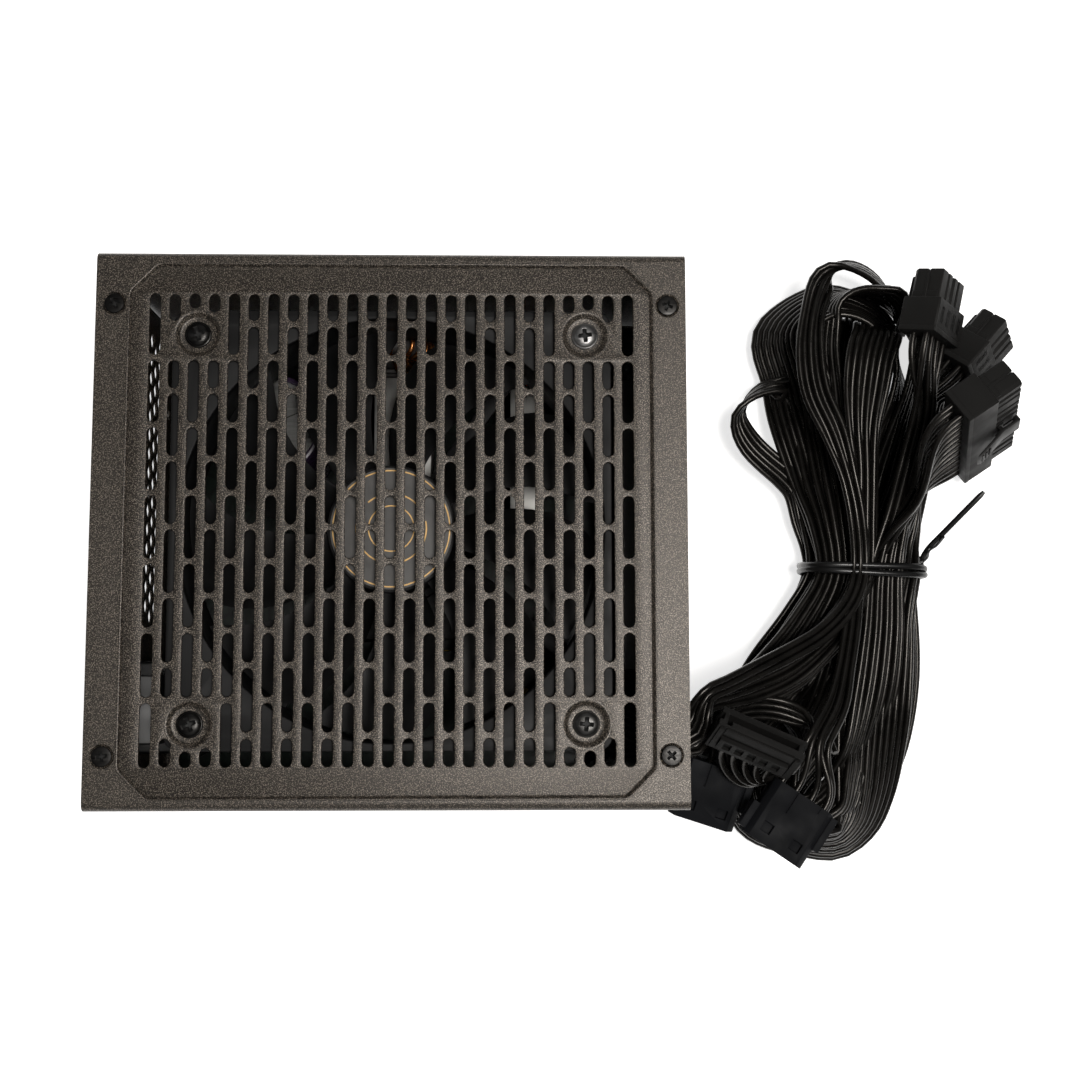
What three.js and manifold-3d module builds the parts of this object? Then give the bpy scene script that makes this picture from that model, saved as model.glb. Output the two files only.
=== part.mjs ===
// ATX computer power supply unit with a top-mounted cooling fan and a fixed bundle of flat ribbon cables.
// Millimetres, +Z up. Origin: centre of the casing's underside. The mains panel faces -X, the cable panel +X.
import * as THREE from "three";
import { mergeVertices } from "three/addons/utils/BufferGeometryUtils.js";
import Module from "manifold-3d";

const wasm = await Module();
wasm.setup();

// ---------------------------------------------------------------- driving dimensions
const DEPTH = 160; // X, mains panel to cable panel
const WIDTH = 150; // Y, ATX width
const HEIGHT = 86; // Z, ATX height
const SHEET = 0.8; // steel sheet of cover and tray
const GAP = 0.3; // clearance between pieces that touch on the real object
const BEND_R = 3.0; // outside bend radius of the cover
const PANEL_DROP = 0.6; // how far the grille panel is pressed in
const PANEL_X = 70.4, PANEL_Y = 71.0, PANEL_CUT = 7.2; // pressed octagon, half sizes and corner cut
const COVER_SCREW_X = 75, COVER_SCREW_Y = 60.75;
const FAN_SIZE = 120, FAN_PITCH = 105, FAN_DEPTH = 25, FAN_TOP = 83.0;
const FAN_BORE_R = 57.75, HUB_R = 17.5, BLADE_R = 56.2, BLADES = 9;
const SLOT_W = 3.0, SLOT_L = 16.94, SLOT_PITCH_X = 5.342, SLOT_PITCH_Y = 18.44, SLOT_COLUMNS = 25;
const HEX_PITCH = 5.9, HEX_FLATS = 4.2;
const VENT = { y0: -23.5, y1: 68, z0: 10.5, z1: 76 };
const ATX_HOLE_R = 1.6;
const ATX_HOLES = [[-69, 80], [69, 80], [-69, 16], [45, 6]]; // Y, Z of the four case screws
const INLET = { y: -49, z: 30 }, SWITCH = { y: -49, z: 62 };
const GROMMET = { y: -56, z: 34, hole: 13.1 };
const OUTMOST = 83.47; // how far switch and grommet reach in -X and +X
const PCB_Z = 8, PCB_T = 1.6;

// ---------------------------------------------------------------- solids
const V = (x, y, z) => new THREE.Vector3(x, y, z);
function solid(geometry) {
  const g = geometry.index ? geometry.toNonIndexed() : geometry.clone();
  for (const name of Object.keys(g.attributes)) if (name !== "position") g.deleteAttribute(name);
  const m = mergeVertices(g, 1e-4);
  return new wasm.Manifold(new wasm.Mesh({
    numProp: 3,
    vertProperties: new Float32Array(m.attributes.position.array),
    triVerts: new Uint32Array(m.index.array),
  }));
}
function geometryOf(s) {
  const m = s.getMesh(), n = m.numProp, v = new Float32Array(m.numVert * 3);
  for (let i = 0; i < m.numVert; i++) v.set(m.vertProperties.subarray(i * n, i * n + 3), i * 3);
  const g = new THREE.BufferGeometry()
    .setAttribute("position", new THREE.BufferAttribute(v, 3))
    .setIndex(new THREE.BufferAttribute(new Uint32Array(m.triVerts), 1)).toNonIndexed();
  g.computeVertexNormals();
  return g;
}
const join = (...list) => list.reduce((a, b) => a.add(b));
const cut = (a, ...list) => list.reduce((x, y) => x.subtract(y), a);
const box = (x0, x1, y0, y1, z0, z1) =>
  solid(new THREE.BoxGeometry(x1 - x0, y1 - y0, z1 - z0).translate((x0 + x1) / 2, (y0 + y1) / 2, (z0 + z1) / 2));
const cylZ = (r, z0, z1, x = 0, y = 0, n = 12, r1 = r) =>
  solid(new THREE.CylinderGeometry(r1, r, z1 - z0, n).rotateX(Math.PI / 2).translate(x, y, (z0 + z1) / 2));
const lathe = (points, n) =>
  solid(new THREE.LatheGeometry(points.map(([r, z]) => new THREE.Vector2(r, z)), n).rotateX(Math.PI / 2));
const shapeOf = (points) => new THREE.Shape(points.map(([x, y]) => new THREE.Vector2(x, y)));
const pathOf = (points) => new THREE.Path(points.map(([x, y]) => new THREE.Vector2(x, y)));
// A flat outline in X, Y pushed from z0 to z1.
const slab = (points, z0, z1, holes = []) => {
  const s = shapeOf(points);
  s.holes = holes.map(pathOf);
  return solid(new THREE.ExtrudeGeometry(s, { depth: z1 - z0, bevelEnabled: false }).translate(0, 0, z0));
};
// An outline in Y, Z pushed from x0 to x1.
const slabX = (points, x0, x1, holes = []) => {
  const s = shapeOf(points);
  s.holes = holes.map(pathOf);
  const g = new THREE.ExtrudeGeometry(s, { depth: x1 - x0, bevelEnabled: false });
  g.applyMatrix4(new THREE.Matrix4().makeBasis(V(0, 1, 0), V(0, 0, 1), V(1, 0, 0)));
  return solid(g.translate(x0, 0, 0));
};
const ring = (r, n, cx = 0, cy = 0, a0 = 0) =>
  Array.from({ length: n }, (_, i) => [cx + r * Math.cos(a0 + (2 * Math.PI * i) / n), cy + r * Math.sin(a0 + (2 * Math.PI * i) / n)]);
const rect = (x0, x1, y0, y1) => [[x0, y0], [x1, y0], [x1, y1], [x0, y1]];
const octagon = (hx, hy, c) =>
  [[-hx + c, -hy], [hx - c, -hy], [hx, -hy + c], [hx, hy - c], [hx - c, hy], [-hx + c, hy], [-hx, hy - c], [-hx, -hy + c]];
const tube = (points, r, sides = 8, steps = 24, flat = 1) => {
  const curve = new THREE.CatmullRomCurve3(points.map((p) => V(...p)));
  const s = new THREE.Shape(Array.from({ length: sides }, (_, i) => {
    const a = (2 * Math.PI * i) / sides;
    return new THREE.Vector2(r * flat * Math.cos(a), r * Math.sin(a));
  }));
  return solid(new THREE.ExtrudeGeometry(s, { steps, extrudePath: curve, bevelEnabled: false }));
};

// ---------------------------------------------------------------- materials
const mat = (color, roughness, metalness = 0) => new THREE.MeshStandardMaterial({ color, roughness, metalness });
const M = {
  coat: mat(0x2b2927, 0.62, 0.35), black: mat(0x141414, 0.5), screw: mat(0x1b1b1c, 0.35, 0.8),
  steel: mat(0x9a9a9a, 0.3, 1), fan: mat(0x1d1f21, 0.45), label: mat(0x4b4e52, 0.7), magnet: mat(0x3a3a3c, 0.5, 0.8),
  copper: mat(0xb5602c, 0.35, 1), alu: mat(0xb6b8ba, 0.35, 1), board: mat(0x2c4a2c, 0.6), sheet: mat(0xe2ddc8, 0.6),
  ferrite: mat(0x2e2e30, 0.8), tape: mat(0xc9a63a, 0.5), brass: mat(0xb8923e, 0.3, 1), cable: mat(0x0e0e0e, 0.45),
  cap: mat(0x2a2030, 0.4), film: mat(0xc8a22a, 0.5), rocker: mat(0x101010, 0.35), plug: mat(0x161616, 0.5),
};
const psu = new THREE.Group();
function add(name, s, material, parent = psu) {
  const m = new THREE.Mesh(s.isBufferGeometry ? s : geometryOf(s), material);
  m.name = name;
  parent.add(m);
  return m;
}

// ---------------------------------------------------------------- fan cover with grille
const LOW = HEIGHT - PANEL_DROP - SHEET, TOPFACE = HEIGHT - PANEL_DROP; // grille panel, underside and top
{
  const hy = WIDTH / 2, arc = (r, a0, a1, cy, cz, n = 3) =>
    Array.from({ length: n + 1 }, (_, i) => {
      const a = a0 + ((a1 - a0) * i) / n;
      return [cy + r * Math.cos(a), cz + r * Math.sin(a)];
    });
  const cz = HEIGHT - BEND_R, cy = hy - BEND_R, q = Math.PI / 2;
  const profile = [[hy, GAP], ...arc(BEND_R, 0, q, cy, cz), ...arc(BEND_R, q, 2 * q, -cy, cz), [-hy, GAP], [-hy + SHEET, GAP],
    ...arc(BEND_R - SHEET, 2 * q, q, -cy, cz), ...arc(BEND_R - SHEET, q, 0, cy, cz), [hy - SHEET, GAP]];
  let cover = slabX(profile, -DEPTH / 2, DEPTH / 2);
  cover = cut(cover, slab(octagon(PANEL_X, PANEL_Y, PANEL_CUT), 80, 90));

  // Vertical round-ended slots in 25 columns; even columns hold whole slots, odd ones are shifted by half a pitch.
  const holes = [], W = SLOT_W / 2;
  const slot = (x, y0, y1) => {
    holes.push([[x - W, y0 + 1.2], [x, y0], [x + W, y0 + 1.2], [x + W, y1 - 1.2], [x, y1], [x - W, y1 - 1.2]]);
  };
  const half = SLOT_L / 2;
  for (let c = 0; c < SLOT_COLUMNS; c++) {
    const x = (c - 12) * SLOT_PITCH_X, edge = Math.min(c, 24 - c);
    if (c % 2 === 0) {
      for (let k = -3; k <= 3; k++) {
        const y = k * SLOT_PITCH_Y;
        if (edge === 2 && Math.abs(k) === 3) {
          if (k > 0) slot(x, 59.6, 63.8); else slot(x, -63.8, -59.6);
        } else slot(x, y - half, y + half);
      }
    } else {
      for (const s of [-1, 1]) {
        for (const y of [0.5, 1.5, 2.5].map((k) => k * SLOT_PITCH_Y)) {
          let a = y - half, b = y + half;
          if (y > 40 && (edge === 1 || edge === 3)) b = 45.3;
          s > 0 ? slot(x, a, b) : slot(x, -b, -a);
        }
        const a = edge === 3 ? 58.6 : 56.2;
        s > 0 ? slot(x, a, 63.6) : slot(x, -63.6, -a);
      }
    }
  }
  for (const sx of [-1, 1]) for (const sy of [-1, 1]) holes.push(ring(6.2, 10, (sx * FAN_PITCH) / 2, (sy * FAN_PITCH) / 2));
  cover = cover.add(slab(octagon(PANEL_X + 0.5, PANEL_Y + 0.5, PANEL_CUT + 0.3), LOW, TOPFACE, holes));
  // Dished seats for the fan screws.
  const dish = lathe([[6.6, LOW], [6.6, TOPFACE], [6.0, TOPFACE], [4.6, TOPFACE - 1.2], [2.6, TOPFACE - 1.2], [2.6, LOW - 1.2], [5.4, LOW - 1.2], [6.6, LOW]], 10);
  for (const sx of [-1, 1]) for (const sy of [-1, 1]) cover = cover.add(dish.translate([(sx * FAN_PITCH) / 2, (sy * FAN_PITCH) / 2, 0]));
  for (const sx of [-1, 1]) for (const sy of [-1, 1])
    cover = cover.subtract(cylZ(1.7, HEIGHT - 1.2, HEIGHT + 0.4, sx * COVER_SCREW_X, sy * COVER_SCREW_Y, 12, 3.5));
  add("top_cover", cover, M.coat);
}

// ---------------------------------------------------------------- tray: floor, mains panel, cable panel
{
  const hx = DEPTH / 2, hy = WIDTH / 2 - SHEET - GAP, top = HEIGHT - SHEET - GAP;
  const circle = (r, y, z, n = 12) => ring(r, n, y, z);
  const vent = [];
  const rowPitch = HEX_PITCH * 0.8660254, R = HEX_FLATS / Math.sqrt(3);
  for (let r = 0, z = VENT.z0 + R; z + R <= VENT.z1; r++, z += rowPitch)
    for (let y = VENT.y0 + HEX_FLATS / 2 + (r % 2 ? HEX_PITCH / 2 : 0); y + HEX_FLATS / 2 <= VENT.y1; y += HEX_PITCH)
      vent.push(ring(R, 6, y, z, Math.PI / 2));
  const near = ([y, z]) => ATX_HOLES.some(([a, b]) => Math.hypot(y - a, z - b) < 7);
  const centre = (h) => [h.reduce((s, p) => s + p[0], 0) / h.length, h.reduce((s, p) => s + p[1], 0) / h.length];
  const wall = [[-hy, 0], [hy, 0], [hy, top - 2.3], [hy - 2.3, top], [-hy + 2.3, top], [-hy, top - 2.3]];
  const rear = slabX(wall, -hx, -hx + SHEET, [
    ...vent.filter((h) => !near(centre(h))),
    ...ATX_HOLES.map(([y, z]) => circle(ATX_HOLE_R, y, z)),
    rect(INLET.y - 13.9, INLET.y + 13.9, INLET.z - 10.25, INLET.z + 10.25),
    rect(SWITCH.y - 9.9, SWITCH.y + 9.9, SWITCH.z - 6.7, SWITCH.z + 6.7),
  ]);
  const front = slabX(wall, hx - SHEET, hx, [circle(GROMMET.hole, GROMMET.y, GROMMET.z, 14)]);
  const lx = hx - SHEET - GAP;
  let tray = join(box(-lx, lx, -hy, hy, 0, SHEET), box(-lx, lx, -hy, -hy + SHEET, 0, 12), box(-lx, lx, hy - SHEET, hy, 0, 12));
  for (const [name, panel, s] of [["mains_panel", rear, -1], ["cable_panel", front, 1]]) {
    const x0 = s < 0 ? -hx : 71.3, x1 = s < 0 ? -71.3 : hx;
    add(name, panel.add(slab(rect(x0, x1, -hy + 2.3, hy - 2.3), top - SHEET, top,
      [-1, 1].map((t) => ring(1.75, 10, s * COVER_SCREW_X, t * COVER_SCREW_Y)))), M.coat);
  }
  for (const sx of [-1, 1]) for (const sy of [-1, 1]) {
    tray = tray.add(cylZ(3.4, SHEET - 0.1, PCB_Z - GAP, sx * 66, sy * 62, 10));
    tray = tray.subtract(cylZ(1.75, 2.6, PCB_Z + 2, sx * 66, sy * 62, 10));
  }
  add("base_tray", tray, M.coat);
}

// ---------------------------------------------------------------- screws
function cross(w, l, z0, z1) {
  return join(box(-l / 2, l / 2, -w / 2, w / 2, z0, z1), box(-w / 2, w / 2, -l / 2, l / 2, z0, z1));
}
{
  const z = HEIGHT;
  const cover = cut(lathe([[0, z - 7], [1.35, z - 7], [1.35, z - 1.1], [3.0, z + 0.1], [0, z + 0.4]], 8), cross(0.7, 3.0, z - 0.7, z + 1));
  const f = TOPFACE - 1.2 + GAP;
  const fan = cut(lathe([[0, f - 9], [2.2, f - 9], [2.2, f], [3.6, f], [3.6, f + 0.9], [2.4, f + 1.6], [0, f + 1.75]], 9), cross(0.9, 4.0, f + 0.6, f + 3));
  let k = 1;
  for (const [sx, sy] of [[-1, 1], [1, 1], [1, -1], [-1, -1]]) {
    add("cover_screw_" + k, cover, M.screw).position.set(sx * COVER_SCREW_X, sy * COVER_SCREW_Y, 0);
    add("fan_screw_" + k, fan, k === 2 ? M.steel : M.screw).position.set((sx * FAN_PITCH) / 2, (sy * FAN_PITCH) / 2, 0);
    k++;
  }
}

// ---------------------------------------------------------------- cooling fan
{
  const z1 = FAN_TOP, z0 = FAN_TOP - FAN_DEPTH, h = FAN_SIZE / 2 - 0.2, n = 28;
  const plate = (a, b) => slab(octagon(h, h, 3), a, b, [ring(FAN_BORE_R, n)]);
  let frame = join(plate(z0, z0 + 3.4), plate(z1 - 3.4, z1), slab(ring(59.4, n), z0, z1, [ring(FAN_BORE_R, n)]));
  for (const sx of [-1, 1]) for (const sy of [-1, 1]) frame = frame.add(cylZ(4.4, z0, z1, (sx * FAN_PITCH) / 2, (sy * FAN_PITCH) / 2, 8));
  for (const sx of [-1, 1]) for (const sy of [-1, 1]) frame = frame.subtract(cylZ(2.65, z0 - 1, z1 + 1, (sx * FAN_PITCH) / 2, (sy * FAN_PITCH) / 2, 8));
  frame = join(frame, cylZ(19.5, z0, z0 + 2.2, 0, 0, 24), cut(cylZ(4.4, z0 + 1, z0 + 14, 0, 0, 12), cylZ(3.3, z0 + 2.2, z0 + 20, 0, 0, 12)));
  for (let i = 0; i < 4; i++) {
    const a = Math.PI / 4 + (i * Math.PI) / 2 + 0.18;
    const strut = solid(new THREE.BoxGeometry(41.5, 4.2, 2.6).translate(38.2, 0, z0 + 1.3).rotateZ(a));
    frame = frame.add(strut);
  }
  add("fan_frame", frame, M.fan);

  // Swept, pitched blades lofted from hub to tip.
  const blade = () => {
    const NR = 2, NC = 3, pos = [], idx = [];
    for (const side of [0, 1]) for (let i = 0; i <= NR; i++) {
      const t = i / NR, r = HUB_R - 1 + (BLADE_R - HUB_R + 1) * t;
      const sweep = -0.30 * t * t, chord = 0.50 + 0.02 * t;
      for (let j = 0; j <= NC; j++) {
        const u = j / NC, a = sweep + chord * (u - 0.5) * 1.12;
        const z = z0 + 5 + (15 - 3 * t) * (1 - u) + 1.6 * Math.sin(Math.PI * u) + (side ? 1.3 : 0);
        pos.push(r * Math.cos(a), r * Math.sin(a), z);
      }
    }
    const at = (s, i, j) => s * (NR + 1) * (NC + 1) + i * (NC + 1) + j;
    const quad = (a, b, c, d) => idx.push(a, b, c, a, c, d);
    for (let i = 0; i < NR; i++) for (let j = 0; j < NC; j++) {
      quad(at(1, i, j), at(1, i + 1, j), at(1, i + 1, j + 1), at(1, i, j + 1));
      quad(at(0, i, j), at(0, i, j + 1), at(0, i + 1, j + 1), at(0, i + 1, j));
    }
    for (let i = 0; i < NR; i++) {
      quad(at(0, i, 0), at(0, i + 1, 0), at(1, i + 1, 0), at(1, i, 0));
      quad(at(0, i + 1, NC), at(0, i, NC), at(1, i, NC), at(1, i + 1, NC));
    }
    for (let j = 0; j < NC; j++) {
      quad(at(0, 0, j + 1), at(0, 0, j), at(1, 0, j), at(1, 0, j + 1));
      quad(at(0, NR, j), at(0, NR, j + 1), at(1, NR, j + 1), at(1, NR, j));
    }
    const g = new THREE.BufferGeometry().setAttribute("position", new THREE.Float32BufferAttribute(pos, 3)).setIndex(idx);
    return solid(g);
  };
  const t = z0 + 23; // hub top
  let rotor = lathe([[15, z0 + 4.4], [HUB_R, z0 + 4.4], [HUB_R, t - 0.8], [HUB_R - 0.8, t], [0, t], [0, t - 1.9], [1.9, t - 1.9], [1.9, t - 6], [3.4, t - 6], [3.4, t - 2.2], [15, t - 2.2], [15, z0 + 4.4]], 24);
  for (let i = 0; i < BLADES; i++) rotor = rotor.add(solid(new THREE.BufferGeometry().copy(geometryOf(blade())).rotateZ((2 * Math.PI * i) / BLADES)));
  rotor = rotor.subtract(slab(ring(14.99, 24), z0, t - 2.3, [ring(3.45, 24)]));
  add("fan_rotor", rotor, M.fan);
  add("fan_hub_label", cylZ(16.6, t + GAP, t + GAP + 0.3, 0, 0, 24), M.label);
  add("fan_magnet_ring", slab(ring(14.5, 20), z0 + 5, z0 + 16, [ring(12.9, 20)]), M.magnet);
  add("fan_shaft", cylZ(1.5, z0 + 3, t - 2.3, 0, 0, 10), M.steel);
  add("fan_bearing", slab(ring(2.95, 12), z0 + 3, z0 + 13, [ring(1.85, 12)]), M.brass);
  add("fan_stator", slab(Array.from({ length: 24 }, (_, i) => {
    const a = (2 * Math.PI * i) / 24, r = i % 6 === 3 ? 6.5 : 12;
    return [r * Math.cos(a), r * Math.sin(a)];
  }), z0 + 5.2, z0 + 12, [ring(4.8, 12)]), M.copper);
  add("fan_lead", tube([[15, -14, z0 - 1.6], [20, -24, z0 - 3], [24.5, -34, z0 - 10], [26, -37.5, 30], [26, -38, 10.2]], 1.3, 8, 12), M.cable);
}

// ---------------------------------------------------------------- circuit board and what stands on it
{
  const b = PCB_Z + PCB_T, f = b + GAP;
  const posts = [-1, 1].flatMap((sx) => [-1, 1].map((sy) => [sx * 66, sy * 62]));
  add("main_pcb", slab(rect(-72, 72, -69, 69), PCB_Z, b, posts.map(([x, y]) => ring(1.9, 10, x, y))), M.board);
  add("insulating_sheet", slab(rect(-74, 74, -70, 70), 1.4, 1.9, posts.map(([x, y]) => ring(4.2, 10, x, y))), M.sheet);
  posts.forEach(([x, y], i) =>
    add("pcb_screw_" + (i + 1), lathe([[0, 3.4], [1.4, 3.4], [1.4, f], [2.9, f], [2.9, f + 1.2], [1.8, f + 1.9], [0, f + 1.9]], 10), M.steel).position.set(x, y, 0));

  const can = (name, x, y, r, h, n = 20) =>
    add(name, lathe([[0, f], [r - 0.6, f], [r - 0.1, f + 1], [r - 0.6, f + 2.2], [r, f + 3], [r, f + h - 0.8], [r - 0.8, f + h], [0, f + h]], n), M.cap).position.set(x, y, 0);
  can("bulk_capacitor", -38, 34, 15, 42, 18);
  can("output_capacitor", 50, -3, 5, 26, 10);

  add("transformer_core", cut(box(-20, 20, -17, 17, f + 4, f + 34), box(-13.5, 13.5, -18, 18, f + 9, f + 29)).add(box(-6, 6, -17, 17, f + 5, f + 33)), M.ferrite).position.set(4, -12, 0);
  add("transformer_winding", slab(rect(-12.9, 12.9, -20, 20), f + 9.5, f + 28.5, [rect(-6.6, 6.6, -17.4, 17.4)]), M.tape).position.set(4, -12, 0);
  add("standby_transformer", join(box(-10, 10, -8, 8, f, f + 3), box(-8.5, 8.5, -9, 9, f + 2, f + 17), box(-10, 10, -4.5, 4.5, f + 5, f + 20)), M.tape).position.set(30, -52, 0);

  const toroid = (R, r, n, m) => new THREE.TorusGeometry(R, r, m, n);
  add("pfc_choke", solid(toroid(10.5, 4.6, 16, 6).rotateX(Math.PI / 2).translate(0, 0, f + 32)).add(box(-6, 6, -4, 4, f, f + 19.5)), M.copper).position.set(-5.5, 58, 0);
  add("output_inductor", solid(toroid(7.6, 3.9, 16, 6).translate(0, 0, f + 4.2)), M.copper).position.set(36, 58.4, 0);
  add("emi_choke", join(solid(toroid(8.5, 4.2, 14, 6).rotateX(Math.PI / 2).translate(0, 0, f + 13.2)), box(-9, 9, -6, 6, f, f + 2.4)), M.copper).position.set(-50, -8, 0);
  add("x_capacitor", box(-61, -51, 47, 67, f, f + 20), M.film);

  const fins = (x0, x1, y0, y1, z0, z1, along, n) => {
    const list = [];
    for (let i = 0; i < n; i++) {
      const t = i / (n - 1);
      if (along === "x") { const x = x0 + (x1 - x0 - 1.2) * t; list.push(box(x, x + 1.2, y0, y1, z0, z1)); }
      else { const y = y0 + (y1 - y0 - 1.2) * t; list.push(box(x0, x1, y, y + 1.2, z0, z1)); }
    }
    return list;
  };
  add("primary_heatsink", join(box(-10, -7.5, 12, 48, f, f + 42), box(-10, 9, 12, 48, f + 39, f + 41.5), ...fins(-7.6, 9, 12, 48, f + 28, f + 40, "x", 4)), M.alu);
  add("secondary_heatsink", join(box(61, 63.5, -38, 47, f, f + 44), box(61, 69, -38, 47, f + 41.5, f + 44), ...fins(61, 69, -38, 47, f + 30, f + 42, "y", 6)), M.alu);
  add("rectifier_heatsink", join(box(30, 32.5, 8, 46, f, f + 40), box(30, 42, 8, 46, f + 37.5, f + 40), ...fins(32.4, 42, 30, 46, f + 26, f + 38, "y", 4)), M.alu);
}

// ---------------------------------------------------------------- mains inlet, switch, cable grommet
{
  const x = -DEPTH / 2, { y, z } = INLET;
  const R = (hy, hz) => rect(y - hy, y + hy, z - hz, z + hz);
  const cavity = [[y - 12.2, z - 8.3], [y + 12.2, z - 8.3], [y + 12.2, z + 4.3], [y + 8.2, z + 8.3], [y - 8.2, z + 8.3], [y - 12.2, z + 4.3]];
  let inlet = join(slabX(R(15.5, 12), x - GAP - 1.4, x - GAP), slabX(R(13.6, 9.95), x - GAP - 0.2, x + 20));
  inlet = inlet.subtract(slabX(cavity, x - 5, x + 17));
  const pins = [["ac_pin_live", y - 7, z - 2], ["ac_pin_neutral", y + 7, z - 2], ["ac_pin_earth", y, z + 2]];
  for (const [, py, pz] of pins) inlet = inlet.subtract(slabX(rect(py - 1.3, py + 1.3, pz - 2.3, pz + 2.3), x + 15, x + 22));
  add("ac_inlet", inlet, M.plug);
  for (const [name, py, pz] of pins) add(name, slabX(rect(py - 1, py + 1, pz - 2, pz + 2), x + 2, x + 27), M.steel);
}
{
  const x = -DEPTH / 2, { y, z } = SWITCH;
  let body = join(slabX(rect(y - 11.2, y + 11.2, z - 8.2, z + 8.2), x - GAP - 1.0, x - GAP), slabX(rect(y - 9.6, y + 9.6, z - 6.4, z + 6.4), x - GAP - 0.2, x + 15));
  body = body.subtract(slabX(rect(y - 8.5, y + 8.5, z - 4.9, z + 4.9), x - 3, x + 6.8));
  add("switch_housing", body, M.plug);
  // The rocker lies tipped to one stop; it turns about Z through its pivot.
  const u = [[-7.6, -1.5], [-7.6, 3.2], [-4, 2.1], [0, 1.7], [4, 2.1], [7.6, 3.2], [7.6, -1.5], [3, -4.6], [-3, -4.6]];
  const g = new THREE.ExtrudeGeometry(shapeOf(u), { depth: 9, bevelEnabled: false });
  g.applyMatrix4(new THREE.Matrix4().makeBasis(V(0, 1, 0), V(-1, 0, 0), V(0, 0, 1))); // outline's Y is the way out of the panel
  const rocker = add("switch_rocker", solid(g.translate(0, 0, -4.5)), M.rocker);
  rocker.position.set(x + 1, y, z);
  rocker.rotation.z = (-10 * Math.PI) / 180;
}
{
  const x = DEPTH / 2;
  const g = new THREE.LatheGeometry([[10.8, x - 4], [14.4, x - 4], [14.4, x - SHEET - GAP], [12.7, x - SHEET - GAP], [12.7, x + GAP], [15.6, x + GAP], [15.6, x + 1.7], [13.4, OUTMOST], [10.8, OUTMOST], [10.8, x - 4]].map(([r, a]) => new THREE.Vector2(r, a)), 14);
  g.rotateZ(-Math.PI / 2); // lathe axis to +X
  add("cable_grommet", solid(g.translate(0, GROMMET.y, GROMMET.z)), M.plug);
}

// ---------------------------------------------------------------- cable bundle: lead, tied hank, tie
const LEAD = [[57.5, -54, 12], [58.5, -54.5, 20], [62.5, -55.3, 28.5], [70, -56, 33.4], [78, -56, 34], [86, -56, 33.6], [95, -54.5, 31], [104, -50.5, 26.5], [114, -42.5, 20.5], [123, -31, 15], [129, -20, 12.4], [131, -13, 12]];
add("cable_lead", tube(LEAD, 7.6, 8, 30), M.cable);
{
  const rounded = (outline, z0, z1) => {
    const s = new THREE.Shape();
    const p = new THREE.CatmullRomCurve3(outline.map(([x, y]) => V(x, y, 0)), true, "centripetal").getPoints(outline.length).slice(0, -1);
    s.setFromPoints(p.map((q) => new THREE.Vector2(q.x, q.y)));
    const e = 4;
    return solid(new THREE.ExtrudeGeometry(s, { depth: z1 - z0 - 2 * e, bevelEnabled: true, bevelThickness: e, bevelSize: e, bevelOffset: -e, bevelSegments: 1, curveSegments: 1 }).translate(0, 0, z0 + e));
  };
  const waistY0 = -10.8, waistY1 = -1.6;
  const lower = rounded([[142, -11.5], [163.5, -12], [161, -45], [158, -70], [152, -87], [141, -97.5], [127, -93], [115, -82], [112, -68], [119, -54], [132, -38], [139, -24]], 0.5, 31);
  const upper = rounded([[124, -1], [163, -1], [161, 18], [157, 38], [154, 56], [152, 74], [146, 87], [136, 91.5], [124, 86], [113, 72], [104, 56], [105, 44], [114, 28], [121, 12]], 0.5, 27);
  const big = (y0, y1) => box(60, 240, y0, y1, -5, 90);
  add("cable_hank_lower", lower.intersect(big(-140, waistY0 - GAP)), M.cable);
  add("cable_hank_upper", upper.intersect(big(waistY1 + GAP, 140)), M.cable);
  const g = new THREE.ExtrudeGeometry(shapeOf([[123.5, 6], [127, 3], [161, 3], [164.5, 6], [164.5, 17], [161, 20.4], [127, 20.4], [123.5, 17]]), { depth: waistY1 - waistY0, bevelEnabled: false });
  g.applyMatrix4(new THREE.Matrix4().makeBasis(V(1, 0, 0), V(0, 0, 1), V(0, -1, 0)));
  add("cable_waist", solid(g.translate(0, waistY1, 0)), M.cable);
  // Plastic-coated wire tie, two turns side by side, with one free end.
  const outer = [[121.2, 5], [126, 0.7], [162, 0.7], [166.8, 5], [166.8, 18], [162, 22.7], [126, 22.7], [121.2, 18]];
  const inner = [[123.1, 5.9], [126.9, 2.6], [161.1, 2.6], [164.9, 5.9], [164.9, 17.1], [161.1, 20.8], [126.9, 20.8], [123.1, 17.1]];
  const s = shapeOf(outer);
  s.holes = [pathOf(inner)];
  const t = new THREE.ExtrudeGeometry(s, { depth: 3, bevelEnabled: false });
  t.applyMatrix4(new THREE.Matrix4().makeBasis(V(1, 0, 0), V(0, 0, 1), V(0, -1, 0)));
  add("twist_tie", solid(t.translate(0, -4.8, 0)).add(tube([[166, -6.3, 9], [167.4, -1, 12], [169, 6.5, 15.5], [175, 12.5, 18.5], [182.4, 18.4, 22]], 1.1, 6, 10)), M.cable);
}

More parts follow.
